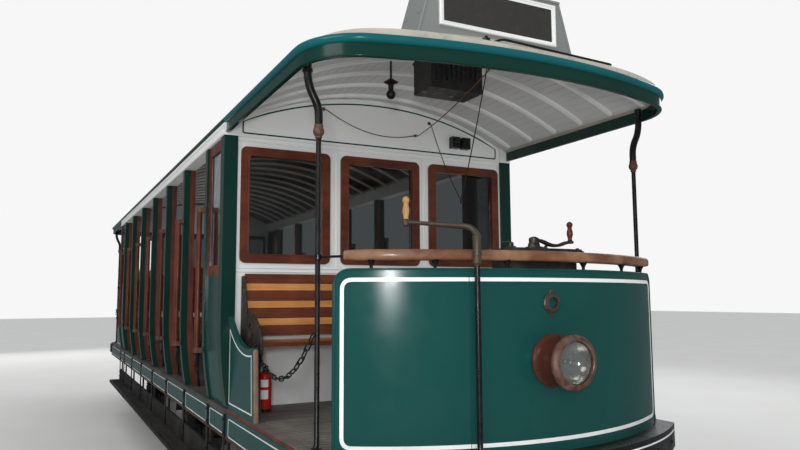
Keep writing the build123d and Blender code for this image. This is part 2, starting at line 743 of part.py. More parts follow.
# Stanchions behind the dash carry the rail, and a ring socket sits on its face
stanchion_radius = 8
stanchion_low = dash_top - 120
stanchion_bow = dash_radius - dash_sheet - seat_gap - stanchion_radius
stanchion_angles = (-30, -20, -8, 8, 20, 30)
socket_z = 1526
socket_bore = 26
socket_rim = 50
socket_thick = 18
socket_lug = 62
with BuildPart() as dash_ironwork:
    with Locations(*[(stanchion_bow * sin(radians(a)), -dash_centre_y - stanchion_bow * cos(radians(a)), stanchion_low)
                     for a in stanchion_angles]):
        Cylinder(stanchion_radius, rail_low - seat_gap - stanchion_low, align=(Align.CENTER, Align.CENTER, Align.MIN))
    with BuildSketch(Plane.XZ.offset(dash_front_y + seat_gap)):
        with Locations((0, socket_z)):
            Circle(socket_rim)
            Polygon((0, socket_lug), (-16, socket_rim - 12), (-16, 12 - socket_rim), (0, -socket_lug),
                    (16, 12 - socket_rim), (16, socket_rim - 12), align=None)
            Circle(socket_bore, mode=Mode.SUBTRACT)
    extrude(amount=socket_thick)
    mirror(about=Plane.XZ)
save(dash_ironwork, "dash_ironwork")

# Headlamps: a flared base, a barrel and a rim around the lens
lamp_z = 1265
lamp_base = 122
lamp_barrel = 106
lamp_rim = 124
lamp_lens = 96
lamp_length = 165
lamp_hollow = 60
lamp_foot = dash_front_y + seat_gap
with BuildPart() as headlamps:
    with BuildSketch(Plane.YZ):
        with BuildLine():
            tip = lamp_foot + lamp_length
            Polyline((-lamp_foot, lamp_z), (-lamp_foot, lamp_z + lamp_base), (-lamp_foot - 14, lamp_z + lamp_base),
                     (-lamp_foot - 34, lamp_z + lamp_barrel), (-tip + 34, lamp_z + lamp_barrel),
                     (-tip + 26, lamp_z + lamp_rim), (-tip, lamp_z + lamp_rim - 6), (-tip, lamp_z + lamp_lens),
                     (-tip + lamp_hollow, lamp_z + lamp_lens), (-tip + lamp_hollow, lamp_z), close=True)
        make_face()
    revolve(axis=Axis((0, 0, lamp_z), (0, 1, 0)))
    mirror(about=Plane.XZ)
save(headlamps, "headlamps")

lens_back = -lamp_foot - lamp_length + lamp_hollow - seat_gap
lens_bulge = 66
lens_edge = lamp_lens - seat_gap
with BuildPart() as headlamp_lenses:
    with BuildSketch(Plane.YZ):
        with BuildLine():
            Polyline((lens_back - 40, lamp_z + lens_edge), (lens_back, lamp_z + lens_edge), (lens_back, lamp_z),
                     (lens_back - lens_bulge, lamp_z))
            ThreePointArc((lens_back - lens_bulge, lamp_z), (lens_back - 60, lamp_z + 48),
                          (lens_back - 40, lamp_z + lens_edge))
        make_face()
    revolve(axis=Axis((0, 0, lamp_z), (0, 1, 0)))
    mirror(about=Plane.XZ)
save(headlamp_lenses, "headlamp_lenses")

# Controllers: a rounded upright case with a capstan handle
control_x = 160
control_y = dash_front_y - 320
control_top = 1795
control_wide = 430
control_deep = 250
control_corner = 60
control_lid = 24
control_hub = 60
with BuildPart() as controllers:
    with BuildSketch(Plane.XY.offset(floor_top)):
        with Locations((control_x, -control_y)):
            RectangleRounded(control_wide, control_deep, control_corner)
    extrude(amount=control_top - control_lid - floor_top)
    with BuildSketch(Plane.XY.offset(control_top - control_lid)):
        with Locations((control_x, -control_y)):
            RectangleRounded(control_wide + 60, control_deep + 40, control_corner)
    extrude(amount=control_lid)
    with Locations((control_x, -control_y, control_top)):
        Cylinder(30, control_hub, align=(Align.CENTER, Align.CENTER, Align.MIN))
    with BuildSketch(Plane.XY.offset(control_top + control_hub - 22)):
        with Locations((control_x + 120, -control_y)):
            SlotOverall(290, 40)
    extrude(amount=18)
    with Locations((control_x - 150, -control_y, control_top)):
        Cylinder(18, 35, align=(Align.CENTER, Align.CENTER, Align.MIN))
    add(controllers.part.rotate(Axis.Z, 180))
save(controllers, "controllers")

# Brake staffs stand on the bumper outside the dash, with a gooseneck arm over the rail
staff_x = -395
staff_radius = 12
sleeve_radius = 20
sleeve_low = 1700
sleeve_high = 1825
staff_y = bow_y(rail_outer + sleeve_radius + seat_gap, staff_x)
arm_z = 1895
grip_x = -590
grip_y = half_body + 1500
grip_seat = arm_z + 22
with BuildPart() as brake_staffs:
    with Locations((staff_x, -staff_y, bumper_top + seat_gap)):
        Cylinder(34, 12, align=(Align.CENTER, Align.CENTER, Align.MIN))
        Cylinder(staff_radius, sleeve_high - bumper_top, align=(Align.CENTER, Align.CENTER, Align.MIN))
    with Locations((staff_x, -staff_y, sleeve_low)):
        Cylinder(sleeve_radius, sleeve_high - sleeve_low, align=(Align.CENTER, Align.CENTER, Align.MIN))
    with BuildLine() as gooseneck:
        FilletPolyline((staff_x, -staff_y, sleeve_high - 5), (staff_x, -staff_y, arm_z), (grip_x, -grip_y, arm_z + 8),
                       radius=45)
    with BuildSketch(Plane((staff_x, -staff_y, sleeve_high - 5))):
        Circle(13)
    sweep(path=gooseneck.line)
    with Locations((grip_x, -grip_y, arm_z - 14)):
        Cylinder(19, grip_seat - arm_z + 14, align=(Align.CENTER, Align.CENTER, Align.MIN))
    add(brake_staffs.part.rotate(Axis.Z, 180))
save(brake_staffs, "brake_staffs")

# Turned wooden grips of the brake arm and the controller
grip_stem = 12
grip_bulge = 17
with BuildPart() as control_grips:
    for x, y, low, tall in ((grip_x, grip_y, grip_seat + seat_gap, 110),
                            (control_x + 240, control_y, control_top + control_hub - 4 + seat_gap, 100)):
        with Locations((x, -y, low)):
            Cylinder(grip_stem, 0.85 * tall, align=(Align.CENTER, Align.CENTER, Align.MIN))
        with Locations((x, -y, low + 0.3 * tall), (x, -y, low + 0.82 * tall)):
            Sphere(grip_bulge)
    add(control_grips.part.rotate(Axis.Z, 180))
save(control_grips, "control_grips")

# Destination boxes on the canopies, cut to the roof's curve, with blank panels
box_front = half_body + 1450
box_deep = 230
box_base = 515
box_shoulder = 400
box_high = 3185
with BuildPart() as destination_boxes:
    with BuildSketch(Plane.XZ.offset(box_front)):
        Polygon((-box_base, ceiling_z(box_base) - 100), (box_base, ceiling_z(box_base) - 100),
                (box_shoulder, box_high), (-box_shoulder, box_high), align=None)
    extrude(amount=-box_deep)
    add(roof_mass.moved(Location((0, 0, seat_gap))), mode=Mode.SUBTRACT)
    mirror(about=Plane.XZ)
save(destination_boxes, "destination_boxes")

sign_wide = 740
sign_tall = 235
sign_mid = 3035
sign_border = 25
with BuildPart() as sign_frames:
    with BuildSketch(Plane.XZ.offset(box_front + seat_gap)):
        with Locations((0, sign_mid)):
            Rectangle(sign_wide, sign_tall)
            Rectangle(sign_wide - 2 * sign_border, sign_tall - 2 * sign_border, mode=Mode.SUBTRACT)
    extrude(amount=16)
    mirror(about=Plane.XZ)
save(sign_frames, "sign_frames")

with BuildPart() as sign_panels:
    with BuildSketch(Plane.XZ.offset(box_front + seat_gap)):
        with Locations((0, sign_mid)):
            Rectangle(sign_wide - 2 * sign_border - 2 * seat_gap, sign_tall - 2 * sign_border - 2 * seat_gap)
    extrude(amount=6)
    mirror(about=Plane.XZ)
save(sign_panels, "sign_panels")

# Running boards with an upright riser, hung from the sills
tread_low = 420
tread_thick = 30
tread_out = 1182
riser_thick = 18
riser_top = 590
hanger_thick = 8
hanger_width = 40
arm_drop = 14
tread_top = tread_low + tread_thick
with BuildPart() as running_boards:
    with BuildSketch(Plane.XZ):
        Polygon((foot_half - riser_thick, tread_low), (tread_out, tread_low), (tread_out, tread_top),
                (foot_half, tread_top), (foot_half, riser_top), (foot_half - riser_thick, riser_top), align=None)
    extrude(amount=half_body + corner_post_lead, both=True)
    mirror(about=Plane.YZ)
save(running_boards, "running_boards")

hanger_places = post_places + [-corner_middle, corner_middle]
with BuildPart() as board_hangers:
    for y in hanger_places:
        with BuildSketch(Plane.XZ.offset(-y - hanger_width / 2)):
            strap = foot_half + seat_gap
            Polygon((strap, tread_top + seat_gap), (strap + hanger_thick, tread_top + seat_gap),
                    (strap + hanger_thick, bumper_top - 10), (strap, bumper_top - 10), align=None)
            back = foot_half - riser_thick - seat_gap
            under = tread_low - seat_gap
            Polygon((back, sill_low - seat_gap), (back - arm_drop, sill_low - seat_gap), (back - arm_drop, under - arm_drop),
                    (tread_out - 12, under - arm_drop), (tread_out - 12, under), (back, under), align=None)
        extrude(amount=hanger_width)
    mirror(about=Plane.YZ)
save(board_hangers, "board_hangers")

# Entrance chains hang in a curve from the platform irons to the canopy poles
link_long = 78
link_wide = 30
link_bar = 8
link_cut = 6               # chamfer of a link's corners
link_gap = 0.8
link_count = 17            # an odd number, so both end links stand on edge
chain_x = pole_x + pole_radius + 7
chain_high = 1290          # first pin's height
chain_fall = 0.7           # slope at the first pin
chain_curl = 0.00172       # change of slope per millimetre
pin_half = link_bar / 2
link_pitch = link_long - 2 * link_bar - link_gap


def chain_drop(run):
    return chain_fall * run - chain_curl / 2 * run**2


def link_outline(half, wide, cut):
    """Corners of a link's outer or inner edge, cut at forty-five degrees."""
    quarter = ((half, wide - cut), (half - cut, wide))
    top = quarter + tuple((-x, y) for x, y in reversed(quarter))
    return top + tuple((-x, -y) for x, y in top)


chain_nodes = [0]
for _ in range(link_count):
    run = chain_nodes[-1]
    step = link_pitch
    for _ in range(5):
        fall = chain_drop(run + step) - chain_drop(run)
        step *= link_pitch / hypot(step, fall)
    chain_nodes.append(run + step)


def pin_in(run, ahead):
    """Run and drop of a pin in the loop at run of the link that reaches on to ahead."""
    share = (pin_half + seat_gap - link_gap / 2) / link_pitch
    return run + share * (ahead - run), chain_drop(run) + share * (chain_drop(ahead) - chain_drop(run))


first_pin = pin_in(*chain_nodes[:2])
last_pin = pin_in(chain_nodes[-1], chain_nodes[-2])
chain_start = pole_y - last_pin[0]
with BuildPart() as entrance_chains:
    for number in range(link_count):
        run, ahead = chain_nodes[number:number + 2]
        fall = chain_drop(ahead) - chain_drop(run)
        middle = Vector(chain_x, -chain_start - (run + ahead) / 2, chain_high - chain_drop(run) - fall / 2)
        along = Vector(0, run - ahead, -fall).normalized()
        face = Vector(1, 0, 0) if number % 2 == 0 else along.cross(Vector(1, 0, 0))
        with BuildSketch(Plane(origin=middle, x_dir=along, z_dir=face)) as link:
            Polygon(*link_outline(link_long / 2, link_wide / 2, link_cut))
            Polygon(*link_outline(link_long / 2 - link_bar, link_wide / 2 - link_bar, link_cut / 3),
                    mode=Mode.SUBTRACT)
        extrude(amount=link_bar / 2, both=True)
    iron_pin = end_iron_x + iron_thick + seat_gap
    pole_pin_x = pole_x + pole_radius + seat_gap
    pin_end = chain_x + link_bar
    for start, (run, drop) in ((iron_pin, first_pin), (pole_pin_x, last_pin)):
        with BuildSketch(Plane.YZ.offset(start)):
            with Locations((-chain_start - run, chain_high - drop)):
                Circle(pin_half)
        extrude(amount=pin_end - start)
    mirror(about=Plane.YZ)
    mirror(about=Plane.XZ)
save(entrance_chains, "entrance_chains")

# Bell cords of the photographed end: one runs through an eye on the bulkhead, one hangs in a loop
cord_radius = 3
cord_eye = Vector(275, -half_body - 26, 2716)
cord_hook = Vector(-277, -half_body - 1752, 2608)
cord_hole_a = Vector(-430, -half_body - seat_gap, 2835)
cord_hole_b = Vector(396, -half_body - seat_gap, 2826)
loop_low = Vector(15, -half_body - 1030, 2085)
loop_half = 14


def hanging(start, end, sag, count):
    """Points of a curve from start to end that hangs down by sag in its middle."""
    return [start + (end - start) * (n / count) - Vector(0, 0, 4 * sag * n / count * (1 - n / count))
            for n in range(count + 1)]


def cord(name, points):
    """A round cord along straight runs joined by the largest tangent arcs that its runs allow."""
    radii = []
    for before, here, after in zip(points, points[1:], points[2:]):
        turn = radians((here - before).get_angle(after - here))
        radii.append(0.45 * min((here - before).length, (after - here).length) / tan(turn / 2))
    with BuildPart() as tube:
        with BuildLine() as route:
            FilletPolyline(*points, radius=radii)
        with BuildSketch(Plane(origin=points[0], z_dir=points[1] - points[0])):
            Circle(cord_radius)
        sweep(path=route.wires()[0])
    length = sum(edge.length for edge in route.edges())
    print(name, "length", round(length), "tightest bend", round(min(radii)),
          "volume share", round(tube.part.volume / (pi * cord_radius**2 * length), 4))
    save(tube, name)


out = Vector(0, -22, 0)
cord("bell_cord_bulkhead",
     [cord_hole_a] + hanging(cord_hole_a + out, cord_eye + Vector(-14, 6, 0), 78, 9)
     + hanging(cord_eye + Vector(8, -14, 0), cord_hook, 22, 21))
cord("bell_cord_loop",
     [cord_hole_b] + hanging(cord_hole_b + out, loop_low + Vector(loop_half, 8, 0), 45, 16)
     + hanging(loop_low + Vector(-loop_half, -8, 0), cord_hook + Vector(-16, 0, 0), 24, 12))

# Fire extinguisher under the platform bench
bottle_x = -872
bottle_y = half_body + 215
bottle_radius = 38
bottle_tall = 235
with BuildPart() as fire_extinguisher:
    with BuildSketch(Plane.XZ.offset(bottle_y)):
        with BuildLine():
            shoulder = floor_top + bottle_tall
            Polyline((bottle_x, floor_top), (bottle_x + bottle_radius, floor_top), (bottle_x + bottle_radius, shoulder - 30))
            ThreePointArc((bottle_x + bottle_radius, shoulder - 30), (bottle_x + 28, shoulder - 8),
                          (bottle_x + 14, shoulder))
            Polyline((bottle_x + 14, shoulder), (bottle_x + 14, shoulder + 34), (bottle_x, shoulder + 34),
                     (bottle_x, floor_top))
        make_face()
    revolve(axis=Axis((bottle_x, -bottle_y, 0), (0, 0, 1)))
save(fire_extinguisher, "fire_extinguisher")

# Fittings under each canopy: a switch box and a lamp hang from a rib, two small switches sit on the bulkhead
hang_y = canopy_ribs[4]
hang_top = roof_crown      # cut back to the ribs' undersides
rod_radius = 6
case_x = -165
case_wide = 320
case_deep = 190
case_low = 2650
case_tall = 190
strap_x = 100              # each side of the case's middle
strap_width = 24
lamp_y = canopy_ribs[3]
lamp_x = -380
lamp_shade_z = 2765
with BuildPart() as ceiling_fittings:
    with Locations((case_x, -hang_y, case_low)):
        Box(case_wide, case_deep, case_tall, align=(Align.CENTER, Align.CENTER, Align.MIN))
    with Locations((case_x - strap_x, -hang_y, case_low), (case_x + strap_x, -hang_y, case_low)):
        Box(strap_width, 60, hang_top - case_low, align=(Align.CENTER, Align.CENTER, Align.MIN))
    with BuildSketch(Plane.XZ.offset(lamp_y)):
        with BuildLine():
            Polyline((lamp_x, hang_top), (lamp_x + rod_radius, hang_top), (lamp_x + rod_radius, lamp_shade_z + 25),
                     (lamp_x + 42, lamp_shade_z), (lamp_x + 16, lamp_shade_z - 13), (lamp_x + 14, lamp_shade_z - 60),
                     (lamp_x, lamp_shade_z - 60), close=True)
        make_face()
    revolve(axis=Axis((lamp_x, -lamp_y, 0), (0, 0, 1)))
    with Locations((lamp_x, -lamp_y, lamp_shade_z - 70)):
        Sphere(27)
    add(rib_under.moved(Location((0, 0, -seat_gap))), mode=Mode.INTERSECT)
    with Locations((600, -half_body - seat_gap, 2655), (690, -half_body - seat_gap, 2655)):
        Box(66, 50, 84, align=(Align.CENTER, Align.MAX, Align.MIN))
    add(ceiling_fittings.part.rotate(Axis.Z, 180))
save(ceiling_fittings, "ceiling_fittings")

# Trolley gear: a plank on the roof, a swivelling stand and the pole
plank_low = roof_crown + seat_gap
plank_top = plank_low + plank_thick
boss_top = plank_top + boss_tall
pivot_z = boss_top + stand_rise
cheek_x = 70
cheek_thick = 16
with BuildPart() as trolley_plank:
    with Locations((0, 0, plank_low)):
        Box(260, 2400, plank_thick, align=(Align.CENTER, Align.CENTER, Align.MIN))
    with Locations((0, 0, plank_top)):
        Cylinder(120, boss_tall, align=(Align.CENTER, Align.CENTER, Align.MIN))
save(trolley_plank, "trolley_plank")

pole_pin = 14
with BuildPart() as trolley_stand:
    with Locations((0, 0, boss_top + seat_gap)):
        Cylinder(100, 34, align=(Align.CENTER, Align.CENTER, Align.MIN))
    for x in (-cheek_x, cheek_x):
        with BuildSketch(Plane.YZ.offset(x - cheek_thick / 2)):
            with BuildLine():
                Polyline((-60, boss_top + 30), (60, boss_top + 30), (32, pivot_z))
                ThreePointArc((32, pivot_z), (0, pivot_z + 32), (-32, pivot_z))
                Line((-32, pivot_z), (-60, boss_top + 30))
            make_face()
            with Locations((0, pivot_z)):
                Circle(pole_pin + running_gap, mode=Mode.SUBTRACT)
        extrude(amount=cheek_thick)
save(trolley_stand, "trolley_stand")

rise = radians(pole_rise)
cross_tube = cheek_x - cheek_thick / 2 - 2
wheel_radius = 55
pole_steps = ((24, 0, 0.35 * pole_length), (20, 0.35 * pole_length, 0.7 * pole_length), (17, 0.7 * pole_length, pole_length))
pole_dir = Vector(0, cos(rise), sin(rise))
pole_tip = Vector(0, 0, pivot_z) + pole_dir * pole_length
with BuildPart() as trolley_pole:
    for radius, start, end in pole_steps:
        with BuildSketch(Plane(origin=(0, 0, pivot_z), x_dir=(1, 0, 0), z_dir=pole_dir).offset(start)):
            Circle(radius)
        extrude(amount=end - start)
    with Locations(Plane.YZ):
        with Locations((0, pivot_z, 0)):
            Cylinder(36, 2 * cross_tube)
            Cylinder(pole_pin, 2 * (cheek_x + cheek_thick / 2))
    with Locations(Plane.YZ):
        with Locations((pole_tip.Y, pole_tip.Z + 20, 0)):
            Cylinder(wheel_radius, 44)
save(trolley_pole, "trolley_pole")

# Wheelsets: an axle with journals and two dished wheels with flanges
tread_drop = 5
for name, place in (("wheelset_front", wheel_places[0]), ("wheelset_rear", wheel_places[1])):
    with BuildPart() as wheelset:
        with BuildSketch(Plane.XY.offset(axle_z)):
            with BuildLine():
                inner = wheel_back
                outer = wheel_back + wheel_rim
                flange = tread_radius + flange_height
                rim = tread_radius - 55
                Polyline((0, place), (0, place + axle_radius), (inner - 10, place + axle_radius),
                         (inner - 10, place + 110), (inner + 15, place + 110), (inner + 30, place + rim),
                         (inner, place + rim + 10), (inner, place + flange - 8), (inner + 8, place + flange),
                         (inner + flange_width - 8, place + tread_radius + 6), (inner + flange_width, place + tread_radius),
                         (outer, place + tread_radius - tread_drop), (outer, place + rim),
                         (inner + 65, place + rim), (inner + 50, place + 110), (outer, place + 100),
                         (outer, place + journal_radius), (outer + journal_length, place + journal_radius),
                         (outer + journal_length, place), close=True)
            make_face()
        revolve(axis=Axis((0, place, axle_z), (1, 0, 0)))
        mirror(about=Plane.YZ)
    save(wheelset, name)

# Truck frames: at each side a top bar with pedestal jaws around the axle boxes and a tie bar, joined by transoms
frame_top = 650
frame_bar = 60
jaw_gap = 5
box_half = 85
box_tall = 190
jaw_width = 50
jaw_low = 300
tie_low = 250
tie_tall = 40
jaw_in = box_half + jaw_gap
transom_low = 590
transom_deep = 70
transom_places = (160 - frame_half, -350, 350, frame_half - 160)
with BuildPart() as truck_frames:
    with BuildSketch(Plane.YZ.offset(frame_x - frame_thick / 2)):
        with Locations((0, frame_top)):
            Rectangle(2 * frame_half, frame_bar, align=(Align.CENTER, Align.MAX))
        for place in wheel_places:
            with Locations((place - jaw_in, frame_top), (place + jaw_in + jaw_width, frame_top)):
                Rectangle(jaw_width, frame_top - tie_low, align=(Align.MAX, Align.MAX))
            for side in (-1, 1):
                near = place + side * (jaw_in + jaw_width)
                with BuildLine():
                    Polyline((near, frame_top - frame_bar), (near + side * 120, frame_top - frame_bar))
                    ThreePointArc((near + side * 120, frame_top - frame_bar), (near + side * 35, frame_top - frame_bar - 60),
                                  (near, frame_top - frame_bar - 190))
                    Line((near, frame_top - frame_bar - 190), (near, frame_top - frame_bar))
                make_face()
        with Locations((0, tie_low)):
            Rectangle(wheel_base + 2 * (jaw_in + jaw_width), tie_tall, align=(Align.CENTER, Align.MIN))
    extrude(amount=frame_thick)
    mirror(about=Plane.YZ)
    with Locations(*[(0, y, transom_low) for y in transom_places]):
        Box(2 * (frame_x - frame_thick / 2 - seat_gap), transom_deep, frame_top - transom_low,
            align=(Align.CENTER, Align.CENTER, Align.MIN))
save(truck_frames, "truck_frames")

# Axle boxes slide between the jaws on the journals
box_in = wheel_back + wheel_rim + 12
box_out = wheel_back + wheel_rim + journal_length + 12
with BuildPart() as axle_boxes:
    for place in wheel_places:
        with BuildSketch(Plane.YZ.offset(box_in)):
            with Locations((place, axle_z)):
                RectangleRounded(2 * box_half, box_tall, 24)
                Circle(journal_radius + running_gap, mode=Mode.SUBTRACT)
        extrude(amount=box_out - box_in)
        with BuildSketch(Plane.YZ.offset(box_out)):
            with Locations((place, axle_z)):
                RectangleRounded(2 * box_half - 20, box_tall - 20, 30)
        extrude(amount=14)
    mirror(about=Plane.YZ)
save(axle_boxes, "axle_boxes")

# Springs: a coil over each axle box, and four between each side frame and the cross beams
coil_radius = 58
coil_wire = 11
coil_turns = 3
box_coils = [(y, axle_z + box_tall / 2, frame_top - frame_bar) for y in wheel_places]
body_coils = [(y, frame_top, cross_low) for y in truck_seats]
with BuildPart() as truck_springs:
    for place, under, over in box_coils + body_coils:
        coil_low = under + seat_gap
        coil_high = over - seat_gap
        coil_pitch = (coil_high - coil_low) / coil_turns
        with BuildSketch(Plane.YZ.offset(frame_x)):
            with BuildLine():
                turns = [(place, coil_low), (place + coil_radius - coil_wire, coil_low)]
                for turn in range(coil_turns):
                    mid = coil_low + (turn + 0.5) * coil_pitch
                    turns.append((place + coil_radius, mid))
                    turns.append((place + coil_radius - coil_wire, coil_low + (turn + 1) * coil_pitch))
                Polyline(*turns, (place, coil_high), close=True)
            make_face()
        revolve(axis=Axis((frame_x, place, 0), (0, 0, 1)))
    mirror(about=Plane.YZ)
save(truck_springs, "truck_springs")

# Motors: plain blocks that ride on the axles and rest their noses under the inner transoms
motor_half = 330
motor_near = wheel_base / 2 - axle_radius - 30
motor_length = 480
motor_low = 200
motor_tall = 380
lug_width = 100
lug_half = 85
nose_half = 60
nose_tall = 50
nose_end = transom_places[2] - transom_deep / 2
with BuildPart() as motors:
    with Locations((0, motor_near, motor_low)):
        Box(2 * motor_half, motor_length, motor_tall, align=(Align.CENTER, Align.MAX, Align.MIN))
    with Locations((0, motor_near, transom_low - seat_gap)):
        Box(2 * nose_half, motor_near - nose_end, nose_tall, align=(Align.CENTER, Align.MAX, Align.MAX))
    for x in (-motor_half, motor_half - lug_width):
        with BuildSketch(Plane.YZ.offset(x)):
            with Locations((wheel_places[1], axle_z)):
                Circle(lug_half)
                Rectangle(wheel_base / 2 - motor_near + 10, 2 * lug_half, align=(Align.MAX, Align.CENTER))
                Circle(axle_radius + running_gap, mode=Mode.SUBTRACT)
        extrude(amount=lug_width)
    mirror(about=Plane.XZ)
save(motors, "motors")

# Brake shoes hang outside the wheels on a beam across the truck
shoe_gap = 8
shoe_thick = 45
shoe_start = wheel_back + flange_width + 8
shoe_width = 75
beam_deep = 70
beam_tall = 60
beam_face = wheel_base / 2 + tread_radius + shoe_gap + shoe_thick - 5
hanger_x = 560
with BuildPart() as brake_gear:
    with BuildSketch(Plane.YZ.offset(shoe_start)):
        with BuildLine():
            grip = tread_radius + shoe_gap
            rear = grip + shoe_thick
            face = CenterArc((wheel_places[1], axle_z), grip, -18, 36)
            spine = CenterArc((wheel_places[1], axle_z), rear, 14, -28)
            Line(face @ 1, spine @ 0)
            Line(spine @ 1, face @ 0)
        make_face()
    extrude(amount=shoe_width)
    with Locations((0, beam_face, axle_z)):
        Box(2 * (shoe_start + shoe_width - 10), beam_deep, beam_tall, align=(Align.CENTER, Align.MIN, Align.CENTER))
    with Locations((hanger_x, beam_face + beam_deep / 2, axle_z)):
        Box(24, 40, transom_low - axle_z - seat_gap, align=(Align.CENTER, Align.CENTER, Align.MIN))
    mirror(about=Plane.YZ)
    mirror(about=Plane.XZ)
save(brake_gear, "brake_gear")

# Lifeguards: a plank ahead of the wheels on two straps
guard_y = 2300
guard_low = 90
with BuildPart() as lifeguards:
    with Locations((0, guard_y, guard_low)):
        Box(1500, 26, 130, align=(Align.CENTER, Align.CENTER, Align.MIN))
    with Locations((runner_x, guard_y, guard_low + 60), (-runner_x, guard_y, guard_low + 60)):
        Box(40, 12, sill_low - guard_low - 60 - seat_gap, align=(Align.CENTER, Align.MIN, Align.MIN))
    mirror(about=Plane.XZ)
save(lifeguards, "lifeguards")
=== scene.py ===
import bpy
import bmesh
from math import asin, cos, hypot, pi, radians, sin, sqrt
from mathutils import Matrix, Vector


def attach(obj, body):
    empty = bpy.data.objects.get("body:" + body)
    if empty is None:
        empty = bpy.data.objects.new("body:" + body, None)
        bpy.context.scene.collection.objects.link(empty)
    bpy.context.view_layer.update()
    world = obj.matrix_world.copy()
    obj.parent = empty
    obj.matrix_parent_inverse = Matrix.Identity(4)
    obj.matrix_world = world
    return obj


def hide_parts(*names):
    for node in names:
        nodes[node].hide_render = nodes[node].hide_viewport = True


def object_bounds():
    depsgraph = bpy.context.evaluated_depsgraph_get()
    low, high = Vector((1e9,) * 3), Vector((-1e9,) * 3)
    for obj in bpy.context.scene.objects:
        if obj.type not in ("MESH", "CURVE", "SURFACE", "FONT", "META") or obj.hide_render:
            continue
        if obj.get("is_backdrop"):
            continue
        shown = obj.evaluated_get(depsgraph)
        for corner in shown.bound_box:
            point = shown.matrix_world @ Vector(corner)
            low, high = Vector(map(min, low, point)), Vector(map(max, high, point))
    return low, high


# Open-sided four-wheel electric tram; the photographed end is at -Y. Shapes are in millimetres, as in the
# solid model, and piece() turns them into metres. Materials, camera and lights are in metres.
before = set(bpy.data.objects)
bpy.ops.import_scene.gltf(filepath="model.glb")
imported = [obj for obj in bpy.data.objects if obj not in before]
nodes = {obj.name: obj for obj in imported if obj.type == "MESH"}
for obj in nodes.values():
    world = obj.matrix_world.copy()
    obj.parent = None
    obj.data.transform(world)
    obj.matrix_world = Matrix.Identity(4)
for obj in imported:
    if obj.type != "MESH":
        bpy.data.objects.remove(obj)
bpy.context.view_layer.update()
scene = bpy.context.scene

IDENTITY = Matrix.Identity(4)
TURN = Matrix.Rotation(pi, 4, "Z")
MIRROR = Matrix.Diagonal((-1, 1, 1, 1))
MILLIMETRES = Matrix.Scale(0.001, 4)
ENDS = (IDENTITY, TURN)
SIDES = (IDENTITY, MIRROR)
CORNERS = (IDENTITY, MIRROR, TURN, TURN @ MIRROR)
FORE, AFT = Vector((0, -1, 0)), Vector((0, 1, 0))
LEFT, RIGHT = Vector((-1, 0, 0)), Vector((1, 0, 0))
UP = Vector((0, 0, 1))


# Materials: colours are red, green and blue from 0 to 255

def srgb(colour):
    """A screen colour as the linear colour that a shader takes."""
    def linear(value):
        value /= 255
        return value / 12.92 if value <= 0.04045 else ((value + 0.055) / 1.055) ** 2.4
    return (*map(linear, colour), 1)


class Surface:
    """A node material whose colour, roughness and bump are built up step by step."""

    def __init__(self, name, colour, roughness=0.4, **sockets):
        self.material = bpy.data.materials.new(name)
        self.material.use_nodes = True
        self.tree = self.material.node_tree
        self.shader = self.tree.nodes["Principled BSDF"]
        self.place = self.node("ShaderNodeTexCoord").outputs["Object"]
        self.paint = srgb(colour)
        self.relief = None
        for socket, value in {"Base Color": self.paint, "Roughness": roughness, **sockets}.items():
            self.feed(value, socket.replace("_", " "))

    def feed(self, value, name, node=None):
        """Gives an input of a node, or of the shader, a fixed value or another node's output."""
        socket = (node or self.shader).inputs[name]
        if isinstance(value, bpy.types.NodeSocket):
            self.tree.links.new(value, socket)
        else:
            socket.default_value = value

    def node(self, kind, inputs=(), **settings):
        made = self.tree.nodes.new(kind)
        for key, value in settings.items():
            setattr(made, key, value)
        for name in inputs:
            self.feed(inputs[name], name, made)
        return made

    def noise(self, scale, detail=4, low=0.35, high=0.65, stretch=(1, 1, 1), distortion=0.0):
        """A noise pattern as a 0 to 1 mask."""
        mapping = self.node("ShaderNodeMapping", {"Scale": stretch, "Vector": self.place})
        pattern = self.node("ShaderNodeTexNoise", {
            "Scale": scale, "Detail": detail, "Roughness": 0.55, "Distortion": distortion,
            "Vector": mapping.outputs["Vector"]})
        return self.ramp(pattern.outputs["Fac"], low, high)

    def ramp(self, source, low, high):
        """What the source has between low and high, spread over 0 to 1."""
        spread = {"Value": source, "From Min": low, "From Max": high}
        return self.node("ShaderNodeMapRange", spread, clamp=True).outputs["Result"]

    def times(self, first, second):
        return self.node("ShaderNodeMath", {0: first, 1: second}, operation="MULTIPLY").outputs["Value"]

    def vector(self, operation, output, *inputs):
        """A vector sum of outputs or fixed vectors."""
        return self.node("ShaderNodeVectorMath", dict(enumerate(inputs)), operation=operation).outputs[output]

    def mix(self, mask, colour, amount=1.0):
        """Lays a colour over what is there, where the mask is bright."""
        layers = {"Factor": self.times(mask, amount), "A": self.paint, "B": srgb(colour)}
        self.paint = self.node("ShaderNodeMix", layers, data_type="RGBA").outputs["Result"]
        self.feed(self.paint, "Base Color")

    def rough(self, mask, low, high):
        """Roughness from low to high as the mask goes from 0 to 1."""
        spread = {"Value": mask, "To Min": low, "To Max": high}
        self.feed(self.node("ShaderNodeMapRange", spread, clamp=True).outputs["Result"], "Roughness")

    def bump(self, mask, depth, strength):
        """Adds relief of this depth in metres to the relief so far."""
        relief = self.node("ShaderNodeBump", {"Distance": depth, "Strength": strength, "Height": mask})
        if self.relief is not None:
            self.feed(self.relief, "Normal", relief)
        self.relief = relief.outputs["Normal"]
        self.feed(self.relief, "Normal")

    def edges(self, radius):
        """A mask that is bright on convex and concave edges, where paint wears and dirt gathers."""
        rounded = self.node("ShaderNodeBevel", {"Radius": radius}, samples=4).outputs["Normal"]
        facing = self.node("ShaderNodeNewGeometry").outputs["Normal"]
        return self.ramp(self.vector("DOT_PRODUCT", "Value", rounded, facing), 0.98, 0.84)


